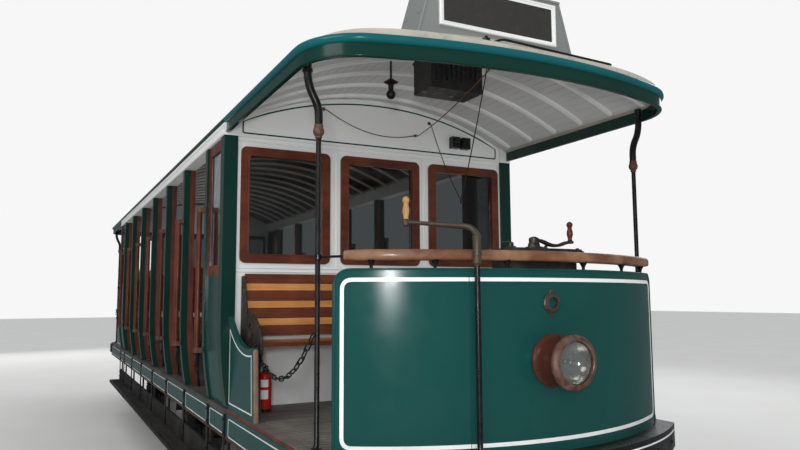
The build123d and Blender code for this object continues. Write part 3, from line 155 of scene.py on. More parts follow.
def enamel(name, colour, worn, dust=0.25, gloss=0.15):
    """Brushed gloss paint, worn at its edges and dusty low on the car."""
    made = Surface(name, colour, gloss, Coat_Weight=0.05, Coat_Roughness=0.10, Specular_IOR_Level=0.25)
    made.mix(made.noise(1.6, 3, 0.3, 0.75), worn, 0.3)
    made.mix(made.noise(38, 5, 0.66, 0.8), worn, 0.15)
    height = made.node("ShaderNodeSeparateXYZ", {"Vector": made.place}).outputs["Z"]
    low_down = made.ramp(height, 1.25, 0.75)
    made.mix(made.times(made.noise(7, 6, 0.35, 0.7, (1, 1, 0.35)), low_down), (112, 104, 90), dust)
    made.mix(made.times(made.edges(0.004), made.noise(60, 3)), worn, 0.5)
    made.rough(made.noise(9, 6, 0.3, 0.75), gloss, gloss + 0.10)
    made.bump(made.noise(9, 2, 0, 1), 0.0012, 0.16)
    made.bump(made.noise(420, 2, 0, 1), 0.0002, 0.3)
    return made.material


def wood(name, colour, dark, light, grain="X", gloss=0.3, worn=0.2, coat=0.15):
    """Varnished wood, its grain along one axis."""
    made = Surface(name, colour, gloss, Coat_Weight=coat, Coat_Roughness=0.12, Specular_IOR_Level=0.4)
    along = [0.06 if axis == grain else 1 for axis in "XYZ"]
    fine = made.noise(150, 6, 0.35, 0.66, along, 0.6)
    broad = made.noise(17, 4, 0.35, 0.7, along, 1.2)
    made.mix(broad, dark, 0.65)
    made.mix(fine, dark, 0.4)
    made.mix(made.noise(5, 3, 0.45, 0.75), light, 0.45)
    made.mix(made.times(made.edges(0.004), made.noise(45, 4)), light, worn * 2)
    made.rough(broad, gloss, gloss + 0.2)
    made.bump(fine, 0.0007, 0.5)
    return made.material


def iron(name, colour, worn, roughness=0.38, metallic=0.0, scuffs=0.35, rust=0.0):
    """Painted or bare metal with scuffed edges, and rust in patches."""
    made = Surface(name, colour, roughness, Metallic=metallic)
    made.mix(made.noise(26, 6, 0.42, 0.7), worn, scuffs * 0.6)
    made.mix(made.times(made.edges(0.005), made.noise(70, 3)), worn, scuffs)
    made.mix(made.noise(11, 6, 0.55, 0.72), (94, 52, 30), rust)
    made.mix(made.noise(5, 4, 0.5, 0.75), (92, 84, 72), rust * 0.6)
    made.rough(made.noise(18, 5, 0.3, 0.7), roughness, min(1, roughness + 0.25))
    made.bump(made.noise(240, 4, 0, 1), 0.0006, 0.35)
    return made.material


def canvas():
    """Weathered roof canvas with a fine weave."""
    made = Surface("roof_canvas", (188, 184, 172), 0.78)
    made.mix(made.noise(2.2, 5, 0.35, 0.7), (142, 136, 122), 0.6)
    made.mix(made.noise(16, 6, 0.5, 0.75, (1, 0.25, 1)), (110, 104, 92), 0.45)
    weave = made.node("ShaderNodeTexWave", {"Scale": 260, "Vector": made.place},
                      wave_type="BANDS", bands_direction="X")
    made.bump(made.ramp(weave.outputs["Fac"], 0, 1), 0.0005, 0.35)
    made.bump(made.noise(120, 3, 0, 1), 0.001, 0.3)
    return made.material


def glass(name, colour, smears, ripple, depth, **sockets):
    """Glass with faint smears (the settings of a noise) and ripples (a scale, with depth and strength)."""
    made = Surface(name, colour, **sockets)
    made.rough(made.noise(*smears), 0.02, 0.09)
    made.bump(made.noise(ripple, 2, 0, 1), *depth)
    return made.material


def wheel_steel():
    """A dark oily wheel whose tread and flange are worn bright, told by the distance from the axle."""
    made = Surface("wheel_steel", (44, 42, 40), Metallic=0.4)
    made.mix(made.noise(14, 6, 0.45, 0.7), (82, 66, 52), 0.5)
    made.mix(made.noise(60, 4, 0.55, 0.75), (24, 23, 22), 0.6)
    share = made.node("ShaderNodeTexCoord").outputs["Generated"]
    offset = made.vector("SUBTRACT", "Vector", share, (0.5, 0.5, 0.5))
    distance = made.vector("LENGTH", "Value", made.vector("MULTIPLY", "Vector", offset, (0, 1, 1)))
    tread = made.ramp(distance, 0.452, 0.458)
    made.mix(tread, (168, 166, 162), 0.9)
    made.rough(tread, 0.55, 0.28)
    made.bump(made.noise(160, 4, 0, 1), 0.0006, 0.4)
    return made.material


def braid(name, colour, dark):
    made = Surface(name, colour, 0.8)
    made.mix(made.noise(420, 3, 0.4, 0.6), dark, 0.7)
    made.bump(made.noise(600, 2, 0, 1), 0.0006, 0.7)
    return made.material


mahogany = (98, 43, 23), (54, 21, 12), (134, 68, 38)
paints = {
    "green": enamel("green_enamel", (19, 68, 64), (14, 52, 49), 0.04),
    "post_green": enamel("post_green_enamel", (16, 50, 43), (12, 36, 32), 0.08),
    # The canopies' moulding: its teal is a painted reflection of the light from above on the body's green enamel
    "teal": enamel("painted_sky_reflection_enamel", (17, 88, 93), (13, 62, 66), 0.1),
    "white": enamel("white_enamel", (229, 230, 229), (205, 204, 199), 0.3, 0.3),
    "boards": enamel("ceiling_enamel", (198, 199, 200), (146, 146, 144), 0.2, 0.36),
    "box_grey": enamel("box_grey_paint", (126, 130, 129), (104, 107, 106), 0.2, 0.42),
    "lamp_brown": enamel("lamp_brown_enamel", (76, 38, 29), (50, 26, 20), 0.1, 0.25),
    "red": enamel("red_enamel", (172, 22, 17), (124, 18, 15), 0.1, 0.28),
    "black": iron("black_iron", (14, 13, 14), (62, 58, 54), 0.2, scuffs=0.22),
    "truck": iron("truck_black", (27, 26, 25), (78, 72, 66), 0.55, rust=0.35),
    "bronze": iron("dark_bronze", (98, 72, 61), (146, 116, 98), 0.4, 0.5, 0.45),
    "staff_bronze": iron("brown_bronze", (82, 72, 62), (136, 122, 104), 0.38, 0.6, 0.45),
    "rim": iron("lamp_rim", (84, 52, 43), (158, 142, 128), 0.3, 0.25, 0.5),
    "steel_dark": iron("oiled_steel", (66, 63, 60), (140, 134, 128), 0.36, 0.7, 0.45, 0.08),
    "mirror": iron("reflector_silver", (212, 210, 204), (150, 142, 124), 0.07, 1.0, 0.2),
    "sign_dark": iron("blind_cloth", (50, 48, 47), (66, 63, 60), 0.62, 0, 0.3),
    "cast": iron("bench_casting", (44, 40, 34), (104, 94, 76), 0.45, 0.2, 0.6),
    # The saloon's ceiling: brown wood grain, made dark as painted shade of the unlit interior seen through the
    # windows
    "saloon_ceiling_painted_shade": wood("saloon_ceiling_wood_painted_shade", (74, 50, 36), (42, 27, 19), (98, 70, 50), "Y"),
    "mahogany_x": wood("mahogany_across", *mahogany, "X"),
    "mahogany_y": wood("mahogany_along", *mahogany, "Y"),
    "mahogany_z": wood("mahogany_upright", *mahogany, "Z"),
    "slat_red": wood("slat_dark_red", (106, 50, 28), (62, 25, 15), (142, 76, 44), "X"),
    "slat_yellow": wood("slat_golden", (206, 138, 74), (158, 96, 48), (222, 166, 98), "X"),
    "strip": wood("wing_strip", (132, 104, 86), (86, 62, 50), (172, 148, 128), "Z", 0.4, 0.5),
    "grip": wood("turned_boxwood", (186, 138, 78), (132, 88, 44), (214, 172, 112), "Z", 0.25),
    "rail": wood("rail_wood", (122, 80, 55), (70, 38, 25), (186, 150, 114), "X", 0.4, 0.6),
    "deck": wood("deck_boards", (80, 76, 72), (46, 43, 41), (112, 106, 98), "Y", 0.6, 0.5, 0.0),
    "slats": wood("platform_boards", (104, 100, 95), (72, 68, 64), (134, 128, 120), "X", 0.5, 0.5, 0.0),
    # Dark boards: on the running boards and their treads the darkness is painted shade, and under the platform slats
    # it is painted shade in the grooves
    "step": wood("dark_boards_painted_shade", (44, 41, 39), (26, 24, 23), (78, 73, 67), "Y", 0.62, 0.5, 0.0),
    "plank": wood("plank_wood", (92, 84, 74), (58, 52, 46), (128, 118, 104), "Y", 0.66, 0.3, 0.0),
    "cord_brown": braid("bell_cord_brown", (104, 66, 42), (64, 38, 24)),
    "cord_dark": braid("bell_cord_dark", (52, 44, 40), (28, 24, 22)),
    "canvas": canvas(),
    "wheel": wheel_steel(),
    # The window panes' grey tint: painted shade that darkens the view into the unlit saloon
    "glass": glass("window_glass_shade_tint", (158, 162, 160), (6, 6, 0.45, 0.8), 3, (0.0015, 0.12),
                   IOR=1.45, Transmission_Weight=1.0),
    "glass_clear": glass("lens_glass", (120, 124, 122), (40, 4, 0.5, 0.8), 90, (0.0004, 0.2),
                         IOR=1.8, Alpha=0.16),
}

# The solid model's own pieces: the paint that each wears, and the width of its softened edges

seat_backs = " ".join(f"seat_back_{n}" for n in range(1, 6))
worn_by = {
    "green": "dashes quarter_panels side_sills",
    "post_green": "canopy_fascias posts",
    "teal": "canopy_mouldings",
    "white": "bulkheads ceiling_ribs letterboards sign_frames",
    "canvas": "roof",
    "black": "bench_irons board_hangers bumpers canopy_poles ceiling_fittings coupling_pockets"
             " entrance_chains trolley_pole",
    "cast": "platform_irons",
    "truck": "axle_boxes brake_gear controllers lifeguards motors trolley_stand truck_frames truck_springs"
             " underframe",
    "bronze": "brake_staffs dash_ironwork handle_brackets",
    "wheel": "wheelset_front wheelset_rear",
    "box_grey": "destination_boxes",
    "sign_dark": "sign_panels",
    "lamp_brown": "headlamps",
    "glass": "headlamp_lenses window_panes",
    "red": "fire_extinguisher",
    "mahogany_x": "window_sashes",
    "mahogany_z": "grab_handles post_linings control_grips",
    "slat_red": "bench_seats platform_slats_red " + seat_backs,
    "slat_yellow": "platform_slats_yellow",
    "rail": "dash_rails",
    "deck": "floor platform_floors",
    "step": "running_boards",
    "plank": "trolley_plank",
}
softened = {
    2: "posts post_linings side_sills letterboards quarter_panels window_sashes bench_irons running_boards"
       " board_hangers handle_brackets axle_boxes lifeguards brake_gear",
    3: "bench_seats platform_slats_red platform_slats_yellow canopy_fascias ceiling_ribs " + seat_backs,
    5: "bumpers destination_boxes motors truck_frames coupling_pockets trolley_stand",
}


def soften(thing, width):
    """Rounds the sharp edges of a thing a little, so that they catch the light."""
    rounded = thing.modifiers.new("soft_edges", "BEVEL")
    rounded.width = width / 1000
    rounded.segments = 2
    rounded.limit_method = "ANGLE"
    rounded.angle_limit = radians(40)
    rounded.harden_normals = True


for paint, names in worn_by.items():
    for name in names.split():
        mesh = nodes[name].data
        mesh.materials.clear()
        mesh.materials.append(paints[paint])
        for face in mesh.polygons:
            face.material_index = 0
for width, names in softened.items():
    for name in names.split():
        soften(nodes[name], width)


# Shape helpers. A path is a list of points; a profile is a list of (across, up) pairs.

def V(*numbers):
    return Vector(numbers)


def at(x, y, z=0):
    return Matrix.Translation((x, y, z))


def aim(origin, direction):
    """A place whose local Z points along direction."""
    turn = Vector(direction).to_track_quat("Z", "Y").to_matrix().to_4x4()
    return Matrix.Translation(origin) @ turn


def rectangle(left, right, low, high):
    return [(left, low), (right, low), (right, high), (left, high)]


def at_x(x, pairs):
    """Points in an upright plane along the car, from (y, z) pairs."""
    return [V(x, y, z) for y, z in pairs]


def at_y(y, pairs):
    """Points in an upright plane across the car, from (x, z) pairs."""
    return [V(x, y, z) for x, z in pairs]


def loft(mesh, rings, closed=False):
    rows = [[mesh.verts.new(point) for point in ring] for ring in rings]
    count = len(rows[0])
    pairs = list(zip(rows, rows[1:])) + ([(rows[-1], rows[0])] if closed else [])
    for first, second in pairs:
        for n in range(count):
            mesh.faces.new((first[n], first[(n + 1) % count], second[(n + 1) % count], second[n]))
    if not closed:
        mesh.faces.new(list(reversed(rows[0])))
        mesh.faces.new(rows[-1])


def slab(mesh, outline, low, high, place=IDENTITY):
    """An outline in the place's XY plane, thick from low to high along its Z."""
    loft(mesh, [[place @ V(x, y, z) for x, y in outline] for z in (low, high)])


def box(mesh, low, high, place=IDENTITY):
    slab(mesh, rectangle(low[0], high[0], low[1], high[1]), low[2], high[2], place)


def lathe(mesh, profile, place, sides=32, closed=False):
    """Turns (radius, along) pairs about the place's Z axis. A closed profile makes a ring."""
    turns = [2 * pi * n / sides for n in range(sides)]
    loft(mesh, [[place @ V(radius * cos(t), radius * sin(t), along) for t in turns]
                for radius, along in profile], closed)


def bolt(mesh, place, wide, tall, top, crown, sides=6, foot=0):
    """A bolt head: a round or six-sided collar that narrows to a smaller top."""
    lathe(mesh, [(wide, foot), (wide, tall), (top, crown)], place, sides)


def both_ways(half):
    """A turned profile from its half on the far side of the middle."""
    return [(radius, -along) for radius, along in reversed(half)] + half


def circle(radius, sides=12):
    return [(radius * cos(2 * pi * n / sides), radius * sin(2 * pi * n / sides)) for n in range(sides)]


def rounded_box(wide, tall, corner, steps=3):
    x, y = wide / 2 - corner, tall / 2 - corner
    corners = ((x, y, 0), (-x, y, 90), (-x, -y, 180), (x, -y, 270))
    return [(x + corner * cos(t), y + corner * sin(t)) for x, y, start in corners
            for t in [radians(start + 90 * n / steps) for n in range(steps + 1)]]


def strip(width, thick=0.8):
    """Profile of a painted line or thin bead that stands on a surface."""
    return rectangle(-width / 2, width / 2, 0, thick)


def half_round(wide, proud, steps=6):
    return [(wide / 2 * cos(pi * n / steps), proud * sin(pi * n / steps)) for n in range(steps + 1)]


def edgewise(profile):
    """The profile turned so that it stands out sideways from its path."""
    return [(up, across) for across, up in profile]


def sweep(mesh, path, profile, up=UP, closed=False, sizes=None, mitre=True):
    """Carries a profile along a path. up is a vector, or a function of the point for a curved sheet."""
    path = [Vector(point) for point in path]
    rings = []
    count = len(path)
    for n, point in enumerate(path):
        into = (point - path[n - 1]).normalized() if n or closed else None
        on = (path[(n + 1) % count] - point).normalized() if n < count - 1 or closed else into
        into = on if into is None else into
        tangent = (into + on).normalized()
        lift = up(point) if callable(up) else up
        side = tangent.cross(lift).normalized()
        lift = side.cross(tangent)
        size = sizes[n] if sizes else 1
        stretch = size / max(0.4, tangent.dot(on)) if mitre else size
        rings.append([point + side * (across * stretch) + lift * (rise * size) for across, rise in profile])
    loft(mesh, rings, closed)


def bend(points, radius, steps=6, closed=False):
    """The path through these points with its corners rounded off."""
    points = [Vector(point) for point in points]
    count = len(points)
    path = [] if closed else [points[0]]
    for n in range(0 if closed else 1, count if closed else count - 1):
        here = points[n]
        into, on = points[n - 1] - here, points[(n + 1) % count] - here
        reach = min(radius, 0.48 * into.length, 0.48 * on.length)
        start, end = here + into.normalized() * reach, here + on.normalized() * reach
        path += [start * (1 - t) ** 2 + here * 2 * t * (1 - t) + end * t ** 2
                 for t in [k / steps for k in range(steps + 1)]]
    return path if closed else path + [points[-1]]


def curve(points, steps):
    """A smooth path through these points."""
    path = []
    last = len(points) - 1
    for n in range(last):
        a, b, c, d = points[max(0, n - 1)], points[n], points[n + 1], points[min(last, n + 2)]
        path += [0.5 * (2 * b + (c - a) * t + (2 * a - 5 * b + 4 * c - d) * t ** 2
                        + (3 * b - a - 3 * c + d) * t ** 3) for t in [k / steps for k in range(steps)]]
    return path + [points[-1]]


def piece(name, mesh, paint, copies=(IDENTITY,), replaces="", body="body", bevel=0, angle=38):
    """Makes one piece from a bmesh in millimetres, repeated at each copy's place."""
    single = bpy.data.meshes.new(name)
    mesh.to_mesh(single)
    mesh.free()
    whole = bmesh.new()
    for place in copies:
        moved = single.copy()
        moved.transform(place @ MILLIMETRES)
        whole.from_mesh(moved)
        bpy.data.meshes.remove(moved)
    bpy.data.meshes.remove(single)
    bmesh.ops.recalc_face_normals(whole, faces=whole.faces)
    made = bpy.data.meshes.new(name)
    whole.to_mesh(made)
    whole.free()
    made.polygons.foreach_set("use_smooth", [True] * len(made.polygons))
    made.set_sharp_from_angle(angle=radians(angle))
    made.materials.append(paints[paint])
    thing = bpy.data.objects.new(name, made)
    scene.collection.objects.link(thing)
    if bevel:
        soften(thing, bevel)
    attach(thing, body)
    if replaces:
        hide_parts(replaces)


# Sizes shared with the solid model

HALF_BODY = 3100
BODY_FACE = HALF_BODY + 0.3     # just clear of the bulkheads' outer faces
FLOOR = 885
EAVE = 1070
CROWN = 2981
ROOF_RADIUS = 2190
ROOF_THICK = 36
CANOPY_FRONT = 4890
CANOPY_FULL = 4140              # the hood slopes down ahead of here
RIM_START = 3120.3
DASH_RADIUS = 1626
DASH_CENTRE = 3284
PLATFORM_HALF = 1050
POLE_X, POLE_Y = 984, -4490
HANDLE_Y = -4590                # the controller's hub and handle
SIDE_END = 3119.5               # half the length of what runs along the body
SILL_FACE = -1052.3
POSTS = [865 * n for n in range(-3, 4)]


def roof_height(x, y=0.0):
    """Outer face of the roof at x and y."""
    eave = CROWN - ROOF_RADIUS + sqrt(ROOF_RADIUS ** 2 - EAVE ** 2)
    share = min(1, max(0, (abs(y) - CANOPY_FULL) / (CANOPY_FRONT + 30 - CANOPY_FULL)))
    crown = eave + (0.04 + 0.96 * cos(radians(90 * share))) * (CROWN - eave) if share else CROWN
    radius = (EAVE ** 2 + (crown - eave) ** 2) / (2 * (crown - eave))
    return crown - radius + sqrt(max(0.0, radius ** 2 - x ** 2))


def canopy_edge(spread, z=0):
    """Path along the photographed canopy's edge, from its left side round the bowed front to its right."""
    half, radius, corner = EAVE + spread, 3000 + spread, 300 + spread
    bow_y = CANOPY_FRONT + spread - radius
    corner_y = bow_y + sqrt((radius - corner) ** 2 - (half - corner) ** 2)
    swing = asin((half - corner) / (radius - corner))
    left = [V(-half, -RIM_START, z), V(-half, -(RIM_START + corner_y) / 2, z)]
    left += [V(corner - half - corner * cos(t), -corner_y - corner * sin(t), z)
             for t in [(pi / 2 - swing) * n / 10 for n in range(11)]]
    bow = [V(radius * sin(t), -bow_y - radius * cos(t), z)
           for t in [swing * n / 12 for n in range(-11, 12)]]
    return left + bow + [V(-p.x, p.y, z) for p in reversed(left)]


def on_dash(angle, z, out=0.0):
    """A point on the photographed dash's face, at this angle from its middle."""
    reach = DASH_RADIUS + out
    return V(reach * sin(angle), -DASH_CENTRE - reach * cos(angle), z)


def from_dash(point):
    """Outward direction from the dash's centre."""
    return V(point.x, point.y + DASH_CENTRE, 0).normalized()


def spaced(reach, count):
    """Even steps from -reach to reach, with count steps on each side of the middle."""
    return [reach * n / count for n in range(-count, count + 1)]


# Roof edge: half-round moulding, green along the body; along the canopies it is teal, a painted reflection of the
# light from above on the same green

MOULDING_Z = 2684
edge_out = 20.3
rounding = edgewise(half_round(40, 19.5))
moulding = bmesh.new()
sweep(moulding, canopy_edge(edge_out, MOULDING_Z), rounding)
piece("canopy_moulding", moulding, "teal", ENDS, "canopy_mouldings")
moulding = bmesh.new()
sweep(moulding, at_x(-1090.3, [(RIM_START, MOULDING_Z), (-RIM_START, MOULDING_Z)]),
      rounding + [(-19, 20), (-19, -20)])
piece("side_moulding", moulding, "post_green", SIDES)
bead = bmesh.new()
sweep(bead, canopy_edge(edge_out, 2606), edgewise(half_round(10, 4)))
piece("fascia_bead", bead, "post_green", ENDS)

# Ceiling: grooved boards along the car under the arch and the canopies

BOARD_PITCH = 58
ceiling_edge = canopy_edge(-4)


def canopy_limit(x):
    """How far ahead the ceiling reaches at x."""
    for first, second in zip(ceiling_edge, ceiling_edge[1:]):
        if first.x <= -abs(x) <= second.x and second.x > first.x:
            share = (-abs(x) - first.x) / (second.x - first.x)
            return -(first.y + (second.y - first.y) * share)
    return RIM_START + 50


def ceiling_board(mesh, left, right, stops):
    """A board with chamfered grooves, through these y places; None stands for the canopy's edge."""
    joint, groove, thick = 0.6, 3.4, 3.8
    section = ((left + joint, 0.4), (left + joint, thick - 2), (left + groove, thick),
               (right - groove, thick), (right - joint, thick - 2), (right - joint, 0.4))
    loft(mesh, [[V(x, -y, roof_height(x, y) - ROOF_THICK - drop)
                 for x, drop in section for y in (stop or canopy_limit(x),)] for stop in stops])


boards = bmesh.new()
for n in range(-18, 18):
    left, right = n * BOARD_PITCH, (n + 1) * BOARD_PITCH
    reach = min(canopy_limit(left), canopy_limit(right)) - 20
    slopes = [y for y in (4140, 4290, 4440, 4560, 4660, 4740, 4800) if y < reach]
    ceiling_board(boards, left, right, [HALF_BODY + 0.5, *slopes, None])
piece("canopy_boards", boards, "boards", ENDS, angle=25)
boards = bmesh.new()
for n in range(-17, 17):
    ceiling_board(boards, n * BOARD_PITCH, (n + 1) * BOARD_PITCH, [-3054, 3054])
# Inside the saloon the boards are dark: painted shade of the unlit interior
piece("saloon_boards", boards, "saloon_ceiling_painted_shade", angle=25)

# Bulkhead: lined panel under the arch, cornice, beads and battens; beads on the sashes

lines = bmesh.new()
side, low, radius = 979, 2613, 2346
top = at_y(-BODY_FACE, [(x, 2904 - radius + sqrt(radius ** 2 - x ** 2)) for x in spaced(-side, 24)])
outline = bend([*at_y(-BODY_FACE, [(-side, low), (side, low)]), top[0], top[2], top[-3], top[-1]],
               12, 3, closed=True)
sweep(lines, outline[:12] + top[2:-2] + outline[20:], strip(10), FORE, closed=True)
piece("bulkhead_lining", lines, "green", ENDS)
lines = bmesh.new()
sweep(lines, at_y(-BODY_FACE, [(x, roof_height(x) - ROOF_THICK - 12) for x in spaced(1005, 24)]),
      half_round(22, 10), FORE)
for z, wide in ((2583, 14), (2556, 9), (1748, 12), (1722, 8)):
    sweep(lines, at_y(-BODY_FACE, [(-1005, z), (1005, z)]), half_round(wide, 6), FORE)
for x, wide in ((-354, 9), (-332, 9), (332, 9), (354, 9), (-990, 10), (990, 10)):
    sweep(lines, at_y(-BODY_FACE, [(x, 1760), (x, 2550)]), half_round(wide, 6), FORE)
piece("bulkhead_beads", lines, "white", ENDS)
beads = bmesh.new()
for x in (-686, 0, 686):
    around = bend(at_y(-3114.5, rectangle(x - 250, x + 250, 1832, 2469)), 20, 3, closed=True)
    sweep(beads, around, half_round(9, 3), FORE, closed=True)
piece("sash_beads", beads, "mahogany_x", ENDS)

# Dash: white lining, beaded edge and seam. The lining is laid out flat, then bowed round the dash.

lining = bmesh.new()
half = radians(34.5) * DASH_RADIUS
corners = bend(at_y(0, rectangle(-half, half, 914, 1632)), 45, closed=True)
path = []
for here, after in zip(corners, corners[1:] + corners[:1]):
    count = 40 if abs(after.x - here.x) > half else 1
    path += [here.lerp(after, k / count) for k in range(count)]
sweep(lining, [on_dash(p.x / DASH_RADIUS, p.z, 0.3) for p in path], strip(17.5), from_dash, closed=True)
piece("dash_lining", lining, "white", ENDS)
trim = bmesh.new()
outer, corner = radians(35.75), 0.0415      # the edge's angle, and how much of it a corner takes
around = [(-outer, 864), (-outer, 1300), (-outer, 1612)]
around += [(corner * (1 - cos(t)) - outer, 1612 + 65.5 * sin(t)) for t in [radians(9 * k) for k in range(1, 11)]]
around += [((outer - corner) * (k / 20 - 1), 1677.5) for k in range(1, 21)]
around += [(-angle, z) for angle, z in reversed(around[:-1])]
sweep(trim, [on_dash(angle, z, 0.5) for angle, z in around], half_round(10, 3.5), from_dash)
sweep(trim, [on_dash(-0.2565, z, 0.2) for z in (866, 1270, 1672)], half_round(4, 1.2, 4), from_dash)
piece("dash_edging", trim, "green", ENDS)

# Platform floors: slats across the car inside a flat border, on a dark base whose darkness is painted shade in the
# grooves between the slats

SLAT_FOOT = 869
BORDER = 990
bow = DASH_RADIUS - 4.5


def bow_at(x):
    """Where the platform floor ends behind the dash at x."""
    return -DASH_CENTRE - sqrt(bow ** 2 - x ** 2)


floors = bmesh.new()
slab(floors, [(PLATFORM_HALF, -BODY_FACE), (-PLATFORM_HALF, -BODY_FACE)]
     + [(x, bow_at(x)) for x in spaced(PLATFORM_HALF, 24)], 860.6, SLAT_FOOT)
piece("platform_base", floors, "step", ENDS, "platform_floors")
floors = bmesh.new()
box(floors, (-PLATFORM_HALF, -3662, SLAT_FOOT), (PLATFORM_HALF, -BODY_FACE, FLOOR))
for side in (-1, 1):
    slab(floors, [(side * PLATFORM_HALF, -3663.5), (side * BORDER, -3663.5), (side * BORDER, bow_at(BORDER)),
                  (side * PLATFORM_HALF, bow_at(PLATFORM_HALF))], SLAT_FOOT, FLOOR)
for n in range(21):
    back = -3674 - 54.5 * n
    front = back - 34.5
    half = min(BORDER - 6, sqrt(bow ** 2 - (front + DASH_CENTRE) ** 2) - 12)
    loft(floors, [[(x, y, z) for x, y in rectangle(inset - half, half - inset, back - inset, front + inset)]
                  for z, inset in ((SLAT_FOOT, 0), (FLOOR - 1.5, 0.8), (FLOOR, 3))])
piece("platform_slats", floors, "slats", ENDS, "platform_floors")

# Bumper: a thin white line round its face and button-headed bolts

line = bmesh.new()
sweep(line, [on_dash(angle, 829, 95.3) for angle in spaced(asin(1030 / 1721.4), 40)], strip(8), from_dash)
piece("bumper_lining", line, "white", ENDS)
bolts = bmesh.new()
for degrees in (-33, -24, -14, 14, 24, 33):
    place = on_dash(radians(degrees), 785, 94.8)
    lathe(bolts, [(13, 0), (12, 3), (8, 6), (2, 7.5)], aim(place, from_dash(place)), 16)
piece("bumper_bolts", bolts, "black", ENDS)

# Wooden rail over the dash, its stanchions and the rods to the canopy poles

rail = bmesh.new()
path = [on_dash(angle, 1740.5, -25) for angle in spaced(asin(905 / (DASH_RADIUS - 25)), 30)]
path[1] = path[0].lerp(path[2], 0.12)
path[-2] = path[-1].lerp(path[-3], 0.12)
sweep(rail, path, rounded_box(80, 48, 14), sizes=[0.55, 0.86] + [1] * 57 + [0.86, 0.55])
piece("dash_rail", rail, "rail", ENDS, "dash_rails")
stanchions = bmesh.new()
for angle in (-30, -20, -8, 8, 20, 30):
    foot = on_dash(radians(angle), 0, -13.3)
    lathe(stanchions, [(10, 1560), (8, 1566), (7.5, 1690), (10, 1700), (17, 1712), (24, 1719.5), (24, 1721.6)],
          at(*foot), 16)
    for z in (1600, 1655):
        bolt(stanchions, aim(foot + V(0, 0, z), -from_dash(foot)), 7, 10, 4, 13, 10, foot=2)
for side in (-1, 1):
    rod = [(side * 972, -4492, 1738), (side * 944, -4535, 1738), (side * 897, -4633, 1736)]
    sweep(stanchions, bend(rod, 20), circle(6, 10), mitre=False)
    lathe(stanchions, [(12.5, 0), (16.5, 4), (16.5, 24), (12.5, 28)], at(side * POLE_X, POLE_Y, 1724), 20)
piece("rail_stanchions", stanchions, "black", ENDS)

# Ring socket on the dash's face

RING_Z = 1526
ring = bmesh.new()
lathe(ring, [(47, 0), (47, 5), (43, 8), (40, 10), (39, 15.5), (34, 17.8), (29, 17.8), (26.2, 16.5), (26.2, 0)],
      aim((0, -4910.4, RING_Z), FORE), 40, closed=True)
for side in (-1, 1):
    sweep(ring, at_y(-4911.8, [(0, RING_Z + side * 40), (0, RING_Z + side * 61)]), rounded_box(26, 6, 2),
          FORE, sizes=[1.1, 0.55])
    lathe(ring, [(5, 0), (4.5, 4), (2.5, 6)], aim((0, -4914.5, RING_Z + side * 53), FORE), 10)
piece("ring_sockets", ring, "staff_bronze", ENDS, "dash_ironwork")

# Headlamp: flared brown housing, rim and clear lens over a reflector and bulb

LAMP_Z = 1265
LENS_HALF = 94.2
seat = aim((0, -4910.3, LAMP_Z), FORE)
lamp = bmesh.new()
lathe(lamp, [(121, 0), (121, 6), (117, 11), (110, 16), (105, 24), (103.5, 38), (103.5, 118), (106, 122),
             (106, 128), (104, 131), (103.5, 134), (98, 134), (98, 108), (96, 104), (20, 60), (20, 0)], seat, 56)
for k in range(6):
    x, z = cos(2 * pi * k / 6 + 0.3), sin(2 * pi * k / 6 + 0.3)
    bolt(lamp, aim((112 * x, -4924.5, LAMP_Z + 112 * z), (0.25 * x, -1, 0.25 * z)), 6, 4, 3, 6, 8)
piece("headlamp_housing", lamp, "lamp_brown", ENDS, "headlamps")
rim = bmesh.new()
lathe(rim, [(104.5, 128), (116, 130), (122.5, 136), (123.8, 144), (121, 152), (116, 157), (110, 160.5),
            (104, 164), (97.5, 164.5), (94.5, 162), (94.5, 150), (97.5, 148), (97.5, 130)], seat, 64, closed=True)
piece("headlamp_rim", rim, "rim", ENDS)
bowl = bmesh.new()
lathe(bowl, [(93, 147), (90, 135), (78, 112), (55, 90), (28, 80), (12, 78), (12, 82), (28, 84), (54, 94),
             (75, 114), (86.5, 136), (91, 147)], seat, 48, closed=True)
lathe(bowl, [(11, 80), (11, 100), (16, 108), (19, 120), (16, 131), (8, 137), (0.5, 138.5)], seat, 20)
piece("headlamp_reflector", bowl, "mirror", ENDS)
lens = bmesh.new()
dome = [(max(LENS_HALF * share, 0.6), 147.5 + 16.5 * sqrt(1 - share ** 2))
        for share in [1 - k / 18 for k in range(19)]]
lathe(lens, dome + [(0.6, 159.5), (50, 156), (90, 147.5)], seat, 56)
piece("headlamp_lens", lens, "glass_clear", ENDS, "headlamp_lenses")

# Brake staff: turned sleeve and gooseneck arm; the staff's foot stands on the bumper

STAFF_X = -395
GRIP = (-590, -4600)
staff_y = -DASH_CENTRE - sqrt((DASH_RADIUS + 15 + 20.3) ** 2 - STAFF_X ** 2)
foot = at(STAFF_X, staff_y)
staff = bmesh.new()
lathe(staff, [(36, 860.1), (36, 867), (28, 872), (20, 880), (13.5, 888), (12.5, 950), (12.5, 1696)], foot, 28)
piece("brake_staff_rod", staff, "black", ENDS, "brake_staffs")
arm = bmesh.new()
lathe(arm, [(12.5, 1690), (15.5, 1698), (19.5, 1701), (19.5, 1709), (18.5, 1712), (18.5, 1806), (20, 1810),
            (20, 1821), (16, 1827), (13, 1834)], foot, 28)
lathe(arm, [(16.5, 1735), (21, 1738), (21, 1750), (16.5, 1753)], foot, 28)
neck = bend([(STAFF_X, staff_y, 1740), (STAFF_X, staff_y, 1860), (*GRIP, 1904)], 70, 12)
sweep(arm, neck, circle(13.5, 16), V(0.84, 0.54, 0.02), mitre=False, sizes=[1] * 8 + [0.97] * 6 + [0.62])
lathe(arm, [(9, 1884), (16.5, 1887), (18.5, 1894), (18.5, 1908), (16, 1914), (10, 1916.5)], at(*GRIP), 24)
piece("brake_staff_arm", arm, "staff_bronze", ENDS, "brake_staffs")

# Turned grips of the brake arm and the controller

